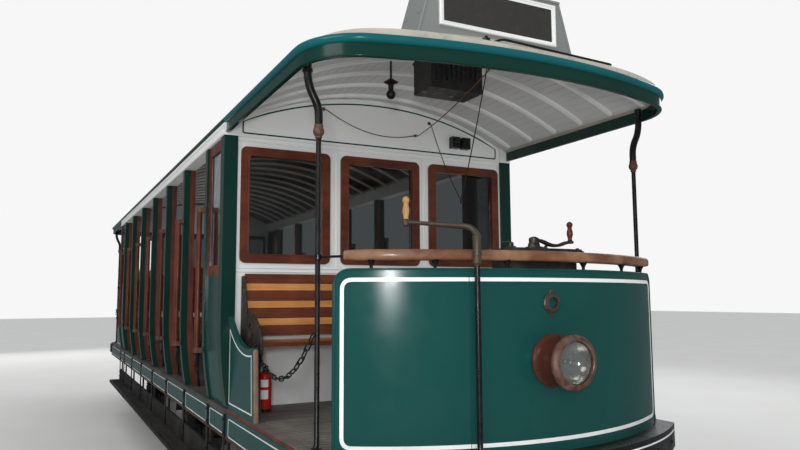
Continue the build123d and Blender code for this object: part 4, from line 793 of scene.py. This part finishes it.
turned = [(10.5, 0), (12.5, 3), (10.5, 9), (13.5, 20), (16.8, 36), (15.5, 52), (11.2, 66), (12.2, 70), (11.2, 74),
          (15.5, 83), (16.8, 91), (14, 100), (7, 106.5), (1, 108)]
for name, paint, place, tall in (("brake_grip", "grip", (*GRIP, 1917.3), 1),
                                 ("controller_grip", "mahogany_z", (400, HANDLE_Y, 1851.3), 0.93)):
    grip = bmesh.new()
    lathe(grip, [(radius, tall * z) for radius, z in turned], at(*place), 24)
    piece(name, grip, paint, ENDS, "control_grips")

# Controller: cast case, cap with a notched ring, a ratchet hub and a cranked handle

CAP_Z = 1794.5
case = bmesh.new()
middle = at(160, HANDLE_Y)
for wide, deep, corner, steps, low, high in (
        (430, 250, 60, 5, FLOOR, 925), (418, 238, 60, 5, 925, 1748), (434, 254, 60, 5, 1748, 1757),
        (478, 278, 66, 6, 1757, 1764), (488, 288, 70, 6, 1764, 1786), (470, 270, 62, 6, 1786, CAP_Z)):
    slab(case, rounded_box(wide, deep, corner, steps), low, high, middle)
box(case, (-150, -127.2, 990), (150, -119, 1700), middle)
for x in (30, 290):
    for z in (1010, 1340, 1680):
        bolt(case, aim((x, -4717.2, z), FORE), 9, 3, 5, 6, 10)
for z in (1120, 1550):
    lathe(case, [(10, -30), (10, 30)], at(2, -4712, z), 10)
piece("controller_case", case, "truck", ENDS, "controllers", bevel=1.5)
crank = bmesh.new()
hub = at(160, HANDLE_Y, CAP_Z)
lathe(crank, [(62, 0), (62, 6), (56, 9), (46, 10), (44, 16), (32, 18), (30, 32), (26, 36), (26, 60), (17, 66),
              (6, 69)], hub)
for k in range(10):
    box(crank, (48, -4, 4), (68, 4, 13), hub @ Matrix.Rotation(radians(24 * k - 90), 4, "Z"))
handle = at_y(HANDLE_Y, [(160, 1844.5), (210, 1843.5), (262, 1822), (318, 1820), (368, 1838), (400, 1842)])
pawl = at_y(HANDLE_Y, [(255, 1826), (232, 1812), (226, 1796.5)])
sweep(crank, bend(handle, 30, 5), rounded_box(34, 16, 6), mitre=False)
sweep(crank, bend(pawl, 12, 4), rounded_box(18, 10, 3), mitre=False)
lathe(crank, [(16, 0), (19, 2), (19, 13), (12, 16.5)], at(400, HANDLE_Y, 1834.3), 20)
lathe(crank, [(30, 0), (30, 6), (18, 10), (18, 32), (12, 37)], at(10, HANDLE_Y, CAP_Z), 24)
sweep(crank, [(10, HANDLE_Y, 1826), (-62, -4622, 1826)], rounded_box(18, 9, 3), sizes=[1, 0.7])
for x, y in rectangle(-200, 200, -100, 100):
    bolt(crank, hub @ at(x, y), 10, 5, 6, 8)
piece("controller_crank", crank, "steel_dark", ENDS)

# Canopy poles: slim below the ball, stouter above it, kinked out to the fascia

poles = bmesh.new()
foot = at(-POLE_X, POLE_Y)
lathe(poles, [(26, FLOOR), (26, FLOOR + 8), (17, FLOOR + 14), (12, FLOOR + 22), (12, 2292)], foot, 20)
kink = at_y(POLE_Y, [(-POLE_X, 2338), (-POLE_X, 2430), (-1040, 2535), (-1040, 2665.5)])
sweep(poles, bend(kink, 60, 10), circle(18.8, 18), AFT, mitre=False)
lathe(poles, [(19, 0), (24, 2), (24, 14), (19, 18)], at(-1040, POLE_Y, 2590), 20)
piece("canopy_pole", poles, "black", CORNERS, "canopy_poles")
ball = bmesh.new()
lathe(ball, [(12.5, 2283), (16.5, 2286), (16.5, 2291), (13.5, 2293.5), (18.5, 2297), (22.8, 2303), (25.4, 2310),
             (26.2, 2316), (25.4, 2322), (23.2, 2330), (20, 2337), (21.5, 2340), (21.5, 2346), (19.2, 2349)], foot)
piece("canopy_pole_ball", ball, "bronze", CORNERS)

# Ends of the platform benches: scrolled relief on the cast plates, as bars through (y, z) points

IRON_X = -971
bar, thin = rounded_box(19, 13.5, 4), rounded_box(12, 9, 3)
scroll = [(-3355 + reach * cos(t), 1358 + reach * sin(t))
          for reach, t in [(62 - 9.5 * k / 3, radians(38 * k + 20)) for k in range(3, 15)]]
casting = bmesh.new()
for section, steps, points in (
        (bar, 1, [(-3130.3, 885), (-3130.3, 1691)]),
        (bar, 5, [(-3132, 1682), (-3163, 1683), (-3180, 1655), (-3203, 1575), (-3222, 1505), (-3252, 1462),
                  (-3320, 1452), (-3420, 1432), (-3505, 1388), (-3556, 1330), (-3566, 1285), (-3540, 1235),
                  (-3508, 1160), (-3498, 1080), (-3520, 980), (-3548, 894)]),
        (bar, 5, [(-3215, 886), (-3232, 985), (-3275, 1070), (-3335, 1105), (-3395, 1080), (-3440, 995),
                  (-3462, 886)]),
        (thin, 3, [(-3222, 1330), (-3255, 1392), (-3300, 1425), *scroll]),
        (thin, 4, [(-3136, 1210), (-3205, 1205), (-3330, 1205), (-3440, 1218), (-3528, 1222)]),
        (thin, 4, [(-3138, 930), (-3190, 975), (-3235, 1075), (-3225, 1150), (-3180, 1165), (-3150, 1125)]),
        (thin, 4, [(-3500, 1060), (-3455, 1105), (-3400, 1135), (-3385, 1190)]),
        (thin, 4, [(-3134, 1300), (-3165, 1345), (-3172, 1420), (-3190, 1500), (-3160, 1560), (-3136, 1600)]),
        (thin, 4, [(-3540, 1330), (-3490, 1310), (-3450, 1330), (-3448, 1375), (-3475, 1400)])):
    sweep(casting, curve(at_x(IRON_X, points), steps), section, RIGHT)
lathe(casting, [(13, -6), (15, 0), (13, 6)], aim((IRON_X, *scroll[-1]), RIGHT), 14)
for z in (1020, 1360, 1620):
    bolt(casting, aim((IRON_X - 6.6, -3160, z), LEFT), 8, 3, 4, 5, 8)
piece("bench_castings", casting, "cast", CORNERS)

# Wings and sills: a wooden strip down the wing's front edge, white lining, and nosings along the floor

cap = bmesh.new()
front = at_x(-1034, [(-3704.5 + 0.0758 * (z - 887), z) for z in (887, 1050, 1200, 1262, 1272, 1277)])
sweep(cap, front, rounded_box(16, 28, 6), RIGHT, sizes=[1, 1, 1, 1, 0.8, 0.35])
piece("wing_capping", cap, "strip", CORNERS)
lining = bmesh.new()
hollow = [(y, 1893 - sqrt(660 ** 2 - (y + 3549) ** 2)) for y in [-3640 + 485 * n / 12 for n in range(13)]]
for end in (1, -1):
    outline = [(end * y, z) for y, z in [(-3155, 925), (-3663, 925), *hollow]]
    sweep(lining, at_x(-1048.4, outline), strip(7), LEFT, closed=True)
bays = [(low + 55, high - 55) for low, high in zip(POSTS, POSTS[1:])]
for low, high in bays + [(2650, 3035), (-3035, -2650), (3165, 4340), (-4340, -3165)]:
    around = bend(at_x(SILL_FACE, rectangle(low, high, 728, 832)), 20, 3, closed=True)
    sweep(lining, around, strip(6), LEFT, closed=True)
piece("side_lining", lining, "white", SIDES)
nosing = bmesh.new()
for low, high in ((-SIDE_END, SIDE_END), (-4375, -3121.5), (3121.5, 4375)):
    for z, wide, proud in ((872.5, 23, 6), (707.5, 12, 4)):
        sweep(nosing, at_x(-1052.5, [(high, z), (low, z)]), edgewise(half_round(wide, proud)))
piece("floor_nosing", nosing, "mahogany_y", SIDES)

# Entrance chains: oval links along the same curve as in the solid model

LINK_PITCH, LINK_ROD, LINKS = 61.2, 3.9, 17
CHAIN_X, CHAIN_TOP = 1003, 1290


def drop(run):
    """How far the chain hangs below its start after this run."""
    return 0.7 * run - 0.00086 * run ** 2


stops = [0]
for _ in range(LINKS):
    run, step = stops[-1], LINK_PITCH
    for _ in range(5):
        step *= LINK_PITCH / hypot(step, drop(run + step) - drop(run))
    stops.append(run + step)
share = LINK_ROD / LINK_PITCH
first_pin, last_pin = share * stops[1], stops[-1] + share * (stops[-2] - stops[-1])
chain_start = POLE_Y + last_pin
oval = [(24 + 11 * cos(radians(t)), 11 * sin(radians(t))) for t in (-90, -54, -18, 18, 54, 90)]
oval += [(-x, -y) for x, y in oval]
chain = bmesh.new()
for n, (run, ahead) in enumerate(zip(stops, stops[1:])):
    middle = V(-CHAIN_X, chain_start - (run + ahead) / 2, CHAIN_TOP - (drop(run) + drop(ahead)) / 2)
    along = V(0, run - ahead, drop(run) - drop(ahead)).normalized()
    face = along.cross(RIGHT) if n % 2 else RIGHT
    wide = face.cross(along)
    sweep(chain, [middle + along * x + wide * y for x, y in oval], circle(LINK_ROD, 8), face,
          closed=True, mitre=False)
for x, run in ((-976.6, first_pin), (-996.1, last_pin)):
    lathe(chain, [(8.5, 0), (8.5, 4), (4, 6), (3.8, x + 1010.5), (6.2, x + 1011), (5, x + 1013.5)],
          aim((x, chain_start - run, CHAIN_TOP - drop(run)), LEFT), 12)
piece("entrance_chain", chain, "black", CORNERS, "entrance_chains")

# Bell cords of the photographed end, with their eyes and hook. The points of the cords are in metres.

def hanging(start, end, sag, count):
    return [start + (end - start) * (n / count) - V(0, 0, 4 * sag * n / count * (1 - n / count))
            for n in range(count + 1)]


cord_eye, cord_hook = V(0.275, -3.126, 2.716), V(-0.277, -4.852, 2.608)
hole_a, hole_b = V(-0.430, -3.1003, 2.835), V(0.396, -3.1003, 2.826)
loop_low, out = V(0.015, -4.130, 2.085), V(0, -0.022, 0)
cords = (
    ("bell_cord_bulkhead", "cord_brown", 2.57,
     [hole_a] + hanging(hole_a + out, cord_eye + V(-0.014, 0.006, 0), 0.078, 9)
     + hanging(cord_eye + V(0.008, -0.014, 0), cord_hook, 0.022, 21)),
    ("bell_cord_loop", "cord_dark", 2.28,
     [hole_b] + hanging(hole_b + out, loop_low + V(0.014, 0.008, 0), 0.045, 16)
     + hanging(loop_low + V(-0.014, -0.008, 0), cord_hook + V(-0.016, 0, 0), 0.024, 12)))
eyes = bmesh.new()
for hole in (hole_a * 1000, hole_b * 1000):
    lathe(eyes, [(3.5, -1), (13, -1), (13, 2), (9, 5), (5.5, 6), (3.5, 6)], aim(hole, FORE), 20)
lathe(eyes, [(10, 0), (10, 3), (4, 6), (3, 14)], aim((276, -BODY_FACE, 2722), FORE), 16)
sweep(eyes, at_y(-3122.5, [(276 + x, 2717 + z) for x, z in circle(8, 14)]), circle(2, 8), AFT,
      closed=True, mitre=False)
hook = at_x(-285, [(-4874.5, 2640), (-4853, 2640), (-4850, 2607), (-4872, 2604)])
sweep(eyes, bend(hook, 12, 5), circle(3.5, 10), RIGHT, mitre=False)
piece("cord_eyes", eyes, "bronze")
for name, paint, length, points in cords:
    data = bpy.data.curves.new(name, "CURVE")
    data.dimensions = "3D"
    data.bevel_depth = 0.003
    data.bevel_resolution = 3
    data.resolution_u = 6
    spline = data.splines.new("NURBS")
    spline.points.add(len(points) - 1)
    for knot, point in zip(spline.points, points):
        knot.co = (*point, 1)
    spline.order_u = 3
    spline.use_endpoint_u = True
    line = bpy.data.objects.new(name + "_line", data)
    scene.collection.objects.link(line)
    data.materials.append(paints[paint])
    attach(line, "body")
    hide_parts(name)

# Destination boxes: capped top, edge beads and a framed blank panel; a bent guard rod lies ahead of each

SIGN_LOW = 2930
sign = bmesh.new()
slab(sign, rectangle(-408, 408, -4556, -4314), 3172, 3184.5)
for side in (-1, 1):
    sweep(sign, at_y(-4550.3, [(side * 506, 2800), (side * 401, 3170)]), half_round(14, 5), FORE)
    sweep(sign, at_y(-4319.5, [(side * 300, SIGN_LOW), (side * 300, 3150)]), half_round(10, 2), AFT)
    for y in (-4500, -4360):
        bolt(sign, aim((side * 456, y, 2990), (side, 0, 0.28)), 12, 4, 6, 8, 8)
sweep(sign, bend(at_y(-4319.7, rectangle(-300, 300, SIGN_LOW, 3150)), 20, 3, closed=True), strip(12, 2), AFT,
      closed=True)
for x in (-260, 260):
    lathe(sign, [(6, -30), (6, 30)], at(x, -4317, 3040), 10)
piece("sign_box_trim", sign, "box_grey", ENDS, bevel=1)
mould = bmesh.new()
sweep(mould, at_y(-4550.5, rectangle(-357.5, 357.5, SIGN_LOW, 3140)),
      [(-12.5, 0), (12.5, 0), (12.5, 12), (9, 15.8), (1, 15.8), (-3, 11), (-12.5, 8)], FORE, closed=True)
piece("sign_frame", mould, "white", ENDS, "sign_frames")
guard = bmesh.new()
rod = [(-262, -4805, 2742), (-175, -4812, 2785), (557, -4790, 2775), (455, -4700, 2779)]
sweep(guard, bend(rod, 30, 5), circle(6, 10), mitre=False)
for x, y, _ in (rod[0], rod[-1]):
    lathe(guard, [(20, -4), (20, 4), (10, 8), (7.5, 18)], at(x, y, roof_height(x, y)), 16)
piece("roof_guard_rod", guard, "black", ENDS)

# Roof: canvas laps

laps = bmesh.new()
for y in spaced(3027.5, 7):
    sweep(laps, [(x, y, roof_height(x) + 0.2) for x in spaced(1060, 24)],
          [(-18, 0), (18, 0), (18, 1.2), (-18, 1.8)])
piece("canvas_laps", laps, "canvas")

# Fire extinguisher: bottle, valve, levers, hose and blank labels

BOTTLE_X = -872
stand = at(BOTTLE_X, -3315, FLOOR)
bottle = bmesh.new()
lathe(bottle, [(37.5, 16), (38, 20), (38, 200), (36.5, 214), (31, 226), (22, 233), (14.5, 236)], stand, 36)
piece("extinguisher_bottle", bottle, "red", replaces="fire_extinguisher")
parts = bmesh.new()
lathe(parts, [(37, 0.3), (38.2, 4), (38.2, 16), (36.5, 18)], stand, 36)
lathe(parts, [(14.5, 235.5), (14.5, 247), (10, 249), (10, 258)], stand, 20)
for points, corner, section, up in (
        ([(-3315, 1145), (-3338, 1153.5), (-3350, 1149)], 10, rounded_box(16, 5, 2), UP),
        ([(-3318, 1134), (-3345, 1130), (-3352, 1112)], 12, rounded_box(14, 4, 1.5), UP),
        ([(-3303, 1140), (-3281, 1132), (-3273.5, 1050), (-3273.5, 960)], 20, circle(5.5, 10), RIGHT)):
    sweep(parts, bend(at_x(BOTTLE_X, points), corner), section, up, mitre=False)
piece("extinguisher_fittings", parts, "black")
labels = bmesh.new()
for low, high in ((145, 188), (75, 128)):
    loft(labels, [[stand @ V(r * cos(t), r * sin(t), z) for r, z in rectangle(37.8, 38.4, low, high)]
                  for t in [radians(-150 + 6 * n) for n in range(13)]])
piece("extinguisher_labels", labels, "white")

# Running boards: ridged treads, dark with painted shade, edge angle and strap bolts; letterboard mouldings above
# them

ridges = bmesh.new()
for n in range(8):
    sweep(ridges, at_x(-1070 - 13.5 * n, [(-3118.5, 450.3), (3118.5, 450.3)]),
          [(-4.2, 0), (4.2, 0), (3, 3), (-3, 3)])
piece("tread_ridges", ridges, "step", SIDES)
angle_iron = bmesh.new()
sweep(angle_iron, at_x(-1179.5, [(SIDE_END, 435), (-SIDE_END, 435)]),
      [(-2.2, -15.5), (2.4, -15.5), (2.4, 15), (-14, 18.2), (-14, 16), (-2.2, 15)])
for y in POSTS + [-3073.5, 3073.5]:
    for z in (500, 560, 740, 820):
        bolt(angle_iron, aim((-1060.4, y, z), LEFT), 9, 4, 5, 6)
piece("board_irons", angle_iron, "black", SIDES)
beads = bmesh.new()
for z, wide in ((2594, 12), (2640, 10)):
    sweep(beads, at_x(-1103.3, [(SIDE_END, z), (-SIDE_END, z)]), edgewise(half_round(wide, 5)))
piece("letterboard_beads", beads, "white", SIDES)

# Ceiling case and lamp details, and the two switches on the bulkhead

details = bmesh.new()
for y, facing in ((-4389, FORE), (-4199, AFT)):
    for x in (-305, -25):
        bolt(details, aim((x, y, 2675), facing), 10, 4, 5, 7, 8, foot=-2)
for n in range(9):
    x = -285 + 30 * n
    box(details, (x - 5, -4394.5, 2700), (x + 5, -4389, 2800))
box(details, (-330, -4394, 2820), (0, -4194, 2832))
lathe(details, [(16, 0), (16, 30), (11, 34), (11, 70)], aim((-20, -4294, 2720), RIGHT), 16)
for x in (600, 690):
    lathe(details, [(22, 0), (22, 6), (12, 10), (10, 22), (6, 26)], aim((x, -3150.4, 2697), FORE), 20)
piece("ceiling_details", details, "black", ENDS, bevel=0.8)

# Truck: coil springs, axle box lids and frame bolts

SPRING_X = -900
coils = bmesh.new()
coil_steps, coil_sides = 68, 20      # 3.4 turns
for y, low, high in [(y, 501, 590) for y in (-1150, 1150)] + [(y, 650, 740) for y in (-1750, -550, 550, 1750)]:
    middle = at(SPRING_X, y)
    helix = [V(SPRING_X + 47 * cos(t), y + 47 * sin(t), low + 12 + (high - low - 24) * k / coil_steps)
             for k, t in [(k, 2 * pi * k / coil_sides) for k in range(coil_steps + 1)]]
    sweep(coils, helix, circle(10.5, 8), mitre=False)
    for radius, start, end, sides in ((57.5, low + 0.4, low + 6, 24), (57.5, high - 6, high - 0.4, 24),
                                      (14, low + 1, high - 1, 12)):
        lathe(coils, [(radius, start), (radius, end)], middle, sides)
piece("coil_springs", coils, "truck", SIDES, "truck_springs")
lids = bmesh.new()
for y in (-1150, 1150):
    front = aim((-976.2, y, 406), LEFT)
    lathe(lids, [(52, -4), (52, 4), (44, 9), (20, 11), (0.5, 11.5)], front, 28)
    for turn in [radians(45 + 90 * k) for k in range(4)]:
        bolt(lids, front @ at(72 * cos(turn), 60 * sin(turn)), 11, 6, 6, 10, foot=-4)
    for offset in (-121.9, 121.9):
        for z in (620, 270):
            bolt(lids, aim((-920.1, y + offset, z), LEFT), 13, 8, 8, 14)
piece("axle_box_lids", lids, "truck", SIDES)

# Trolley gear: tapered pole with a forked head and grooved wheel, cross shaft and bolts

pivot = V(0, 0, 3196.3)
along = V(0, cos(radians(6)), sin(radians(6)))
tube = aim(pivot, along)
neck, head = pivot + along * 3745, pivot + along * 3900 + V(0, 0, 20)
pole = bmesh.new()
lathe(pole, [(23.5, 30), (24, 40), (24, 100), (22.5, 500), (21.2, 1300), (19.5, 1500), (18, 2700), (16.8, 2800),
             (15.5, 3620), (16.8, 3640), (16.8, 3740), (14, 3760)], tube, 24)
for start, radius in ((100, 26), (1360, 22.5), (2730, 20)):
    lathe(pole, [(radius - 4, start), (radius, start + 4), (radius, start + 40), (radius - 4, start + 44)], tube, 24)
lathe(pole, both_ways([(30, 46), (35.5, 50), (35.5, 59.5), (13.9, 61), (13.9, 77), (13, 77.9)]),
      aim(pivot, RIGHT), 28)
for side in (-1, 1):
    fork = [neck + V(side * 4, 0, 0), neck + V(side * 17.5, 50, 10), head + V(side * 19, 0, 0),
            head + V(side * 19, 16, 2)]
    sweep(pole, bend(fork, 30, 4), rounded_box(5, 20, 2), mitre=False)
lathe(pole, [(6, -21.6), (6, 21.6)], aim(head, RIGHT), 12)
piece("trolley_pole_body", pole, "black", replaces="trolley_pole", body="pole")
wheel = bmesh.new()
lathe(wheel, both_ways([(40, 3), (53.5, 10), (54.8, 13), (53, 15.5), (6.5, 15.5)]), aim(head, RIGHT), 40,
      closed=True)
piece("trolley_wheel", wheel, "bronze", body="pole")
base = bmesh.new()
for x, y in rectangle(-70, 70, -47.25, 47.25):
    bolt(base, at(x, y, 3120.6), 9, 6, 5, 10)
for turn in [radians(45 + 90 * k) for k in range(4)]:
    bolt(base, at(84 * cos(turn), 84 * sin(turn), 3120.3), 10, 7, 6, 12)
piece("trolley_base_bolts", base, "truck", body="stand")
cleats = bmesh.new()
for y in (-1050, -550, 550, 1050):
    for x in (-105, 105):
        bolt(cleats, at(x, y, 3036.5), 12, 4, 6, 7, 8)
for y in range(-1150, 1250, 100):
    if abs(y) > 130:
        box(cleats, (-128.5, y - 40, 3036.4), (128.5, y + 40, 3040))
piece("plank_cleats", cleats, "plank", bevel=1)

# Camera at the photograph's viewpoint

camera = bpy.data.objects.new("camera", bpy.data.cameras.new("camera"))
scene.collection.objects.link(camera)
scene.camera = camera
camera.data.lens = 31.35
camera.data.sensor_width = 36
yaw, pitch, roll = 0.4759, 0.1049, -0.005
ahead = V(sin(yaw) * cos(pitch), cos(yaw) * cos(pitch), sin(pitch))
right = V(cos(yaw), -sin(yaw), 0)
above = right.cross(ahead)
turned_right = right * cos(roll) + above * sin(roll)
turned_up = above * cos(roll) - right * sin(roll)
turn = Matrix((turned_right, turned_up, -ahead)).transposed().to_4x4()
camera.matrix_world = at(-2.095, -7.459, 1.55) @ turn

# Pale floor, white surroundings and soft lights

floor_mesh = bmesh.new()
bmesh.ops.create_grid(floor_mesh, x_segments=1, y_segments=1, size=60)
floor_data = bpy.data.meshes.new("studio_floor")
floor_mesh.to_mesh(floor_data)
studio_floor = bpy.data.objects.new("studio_floor", floor_data)
scene.collection.objects.link(studio_floor)
ground = Surface("pale_floor", (218, 217, 214), 0.8, Specular_IOR_Level=0.1)
ground.mix(ground.noise(0.8, 4), (211, 209, 205), 0.5)
floor_data.materials.append(ground.material)
studio_floor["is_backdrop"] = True
studio_floor.visible_glossy = False

# The surroundings look dark in reflections, lighter to diffuse rays and nearly white to the camera
world = bpy.data.worlds.new("studio")
scene.world = world
world.use_nodes = True
background = world.node_tree.nodes["Background"]
rays = world.node_tree.nodes.new("ShaderNodeLightPath")
mirrored, lit, seen = (0.14, 0.15, 0.16, 1), (0.80, 0.82, 0.84, 1), (0.93, 0.93, 0.93, 1)
shade = None
for ray, colour in (("Is Diffuse Ray", lit), ("Is Camera Ray", seen)):
    blend = world.node_tree.nodes.new("ShaderNodeMix")
    blend.data_type = "RGBA"
    blend.inputs["A"].default_value = mirrored
    blend.inputs["B"].default_value = colour
    world.node_tree.links.new(rays.outputs[ray], blend.inputs["Factor"])
    if shade:
        world.node_tree.links.new(shade, blend.inputs["A"])
    shade = blend.outputs["Result"]
world.node_tree.links.new(shade, background.inputs["Color"])


def area_light(name, place, target, size, power, colour=(1, 1, 1), mirrored=True):
    lamp = bpy.data.lights.new(name, "AREA")
    lamp.shape = "RECTANGLE"
    lamp.size, lamp.size_y = size
    lamp.energy = power
    lamp.color = colour
    holder = bpy.data.objects.new(name, lamp)
    scene.collection.objects.link(holder)
    holder.visible_camera = False
    holder.visible_glossy = mirrored
    holder.location = place
    holder.rotation_euler = (Vector(target) - Vector(place)).to_track_quat("-Z", "Y").to_euler()


area_light("key_light", (-8, -7, 7), (0, -3, 1.5), (5, 4), 240, (1, 0.98, 0.95))
area_light("front_light", (-3.5, -16, 3.2), (0, -3, 1.8), (9, 4), 330, (0.98, 0.99, 1), mirrored=False)
area_light("near_light", (-2.3, -7.7, 1.8), (-0.2, -3.1, 1.7), (0.3, 0.3), 42, (0.98, 0.99, 1))
area_light("side_light", (9, 1, 6), (0, 1, 1.5), (6, 4), 180, (0.95, 0.98, 1))
area_light("rear_light", (-3, 16, 4.5), (0, 3, 1.8), (9, 4), 300, mirrored=False)

scene.view_settings.view_transform = "Standard"

low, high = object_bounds()
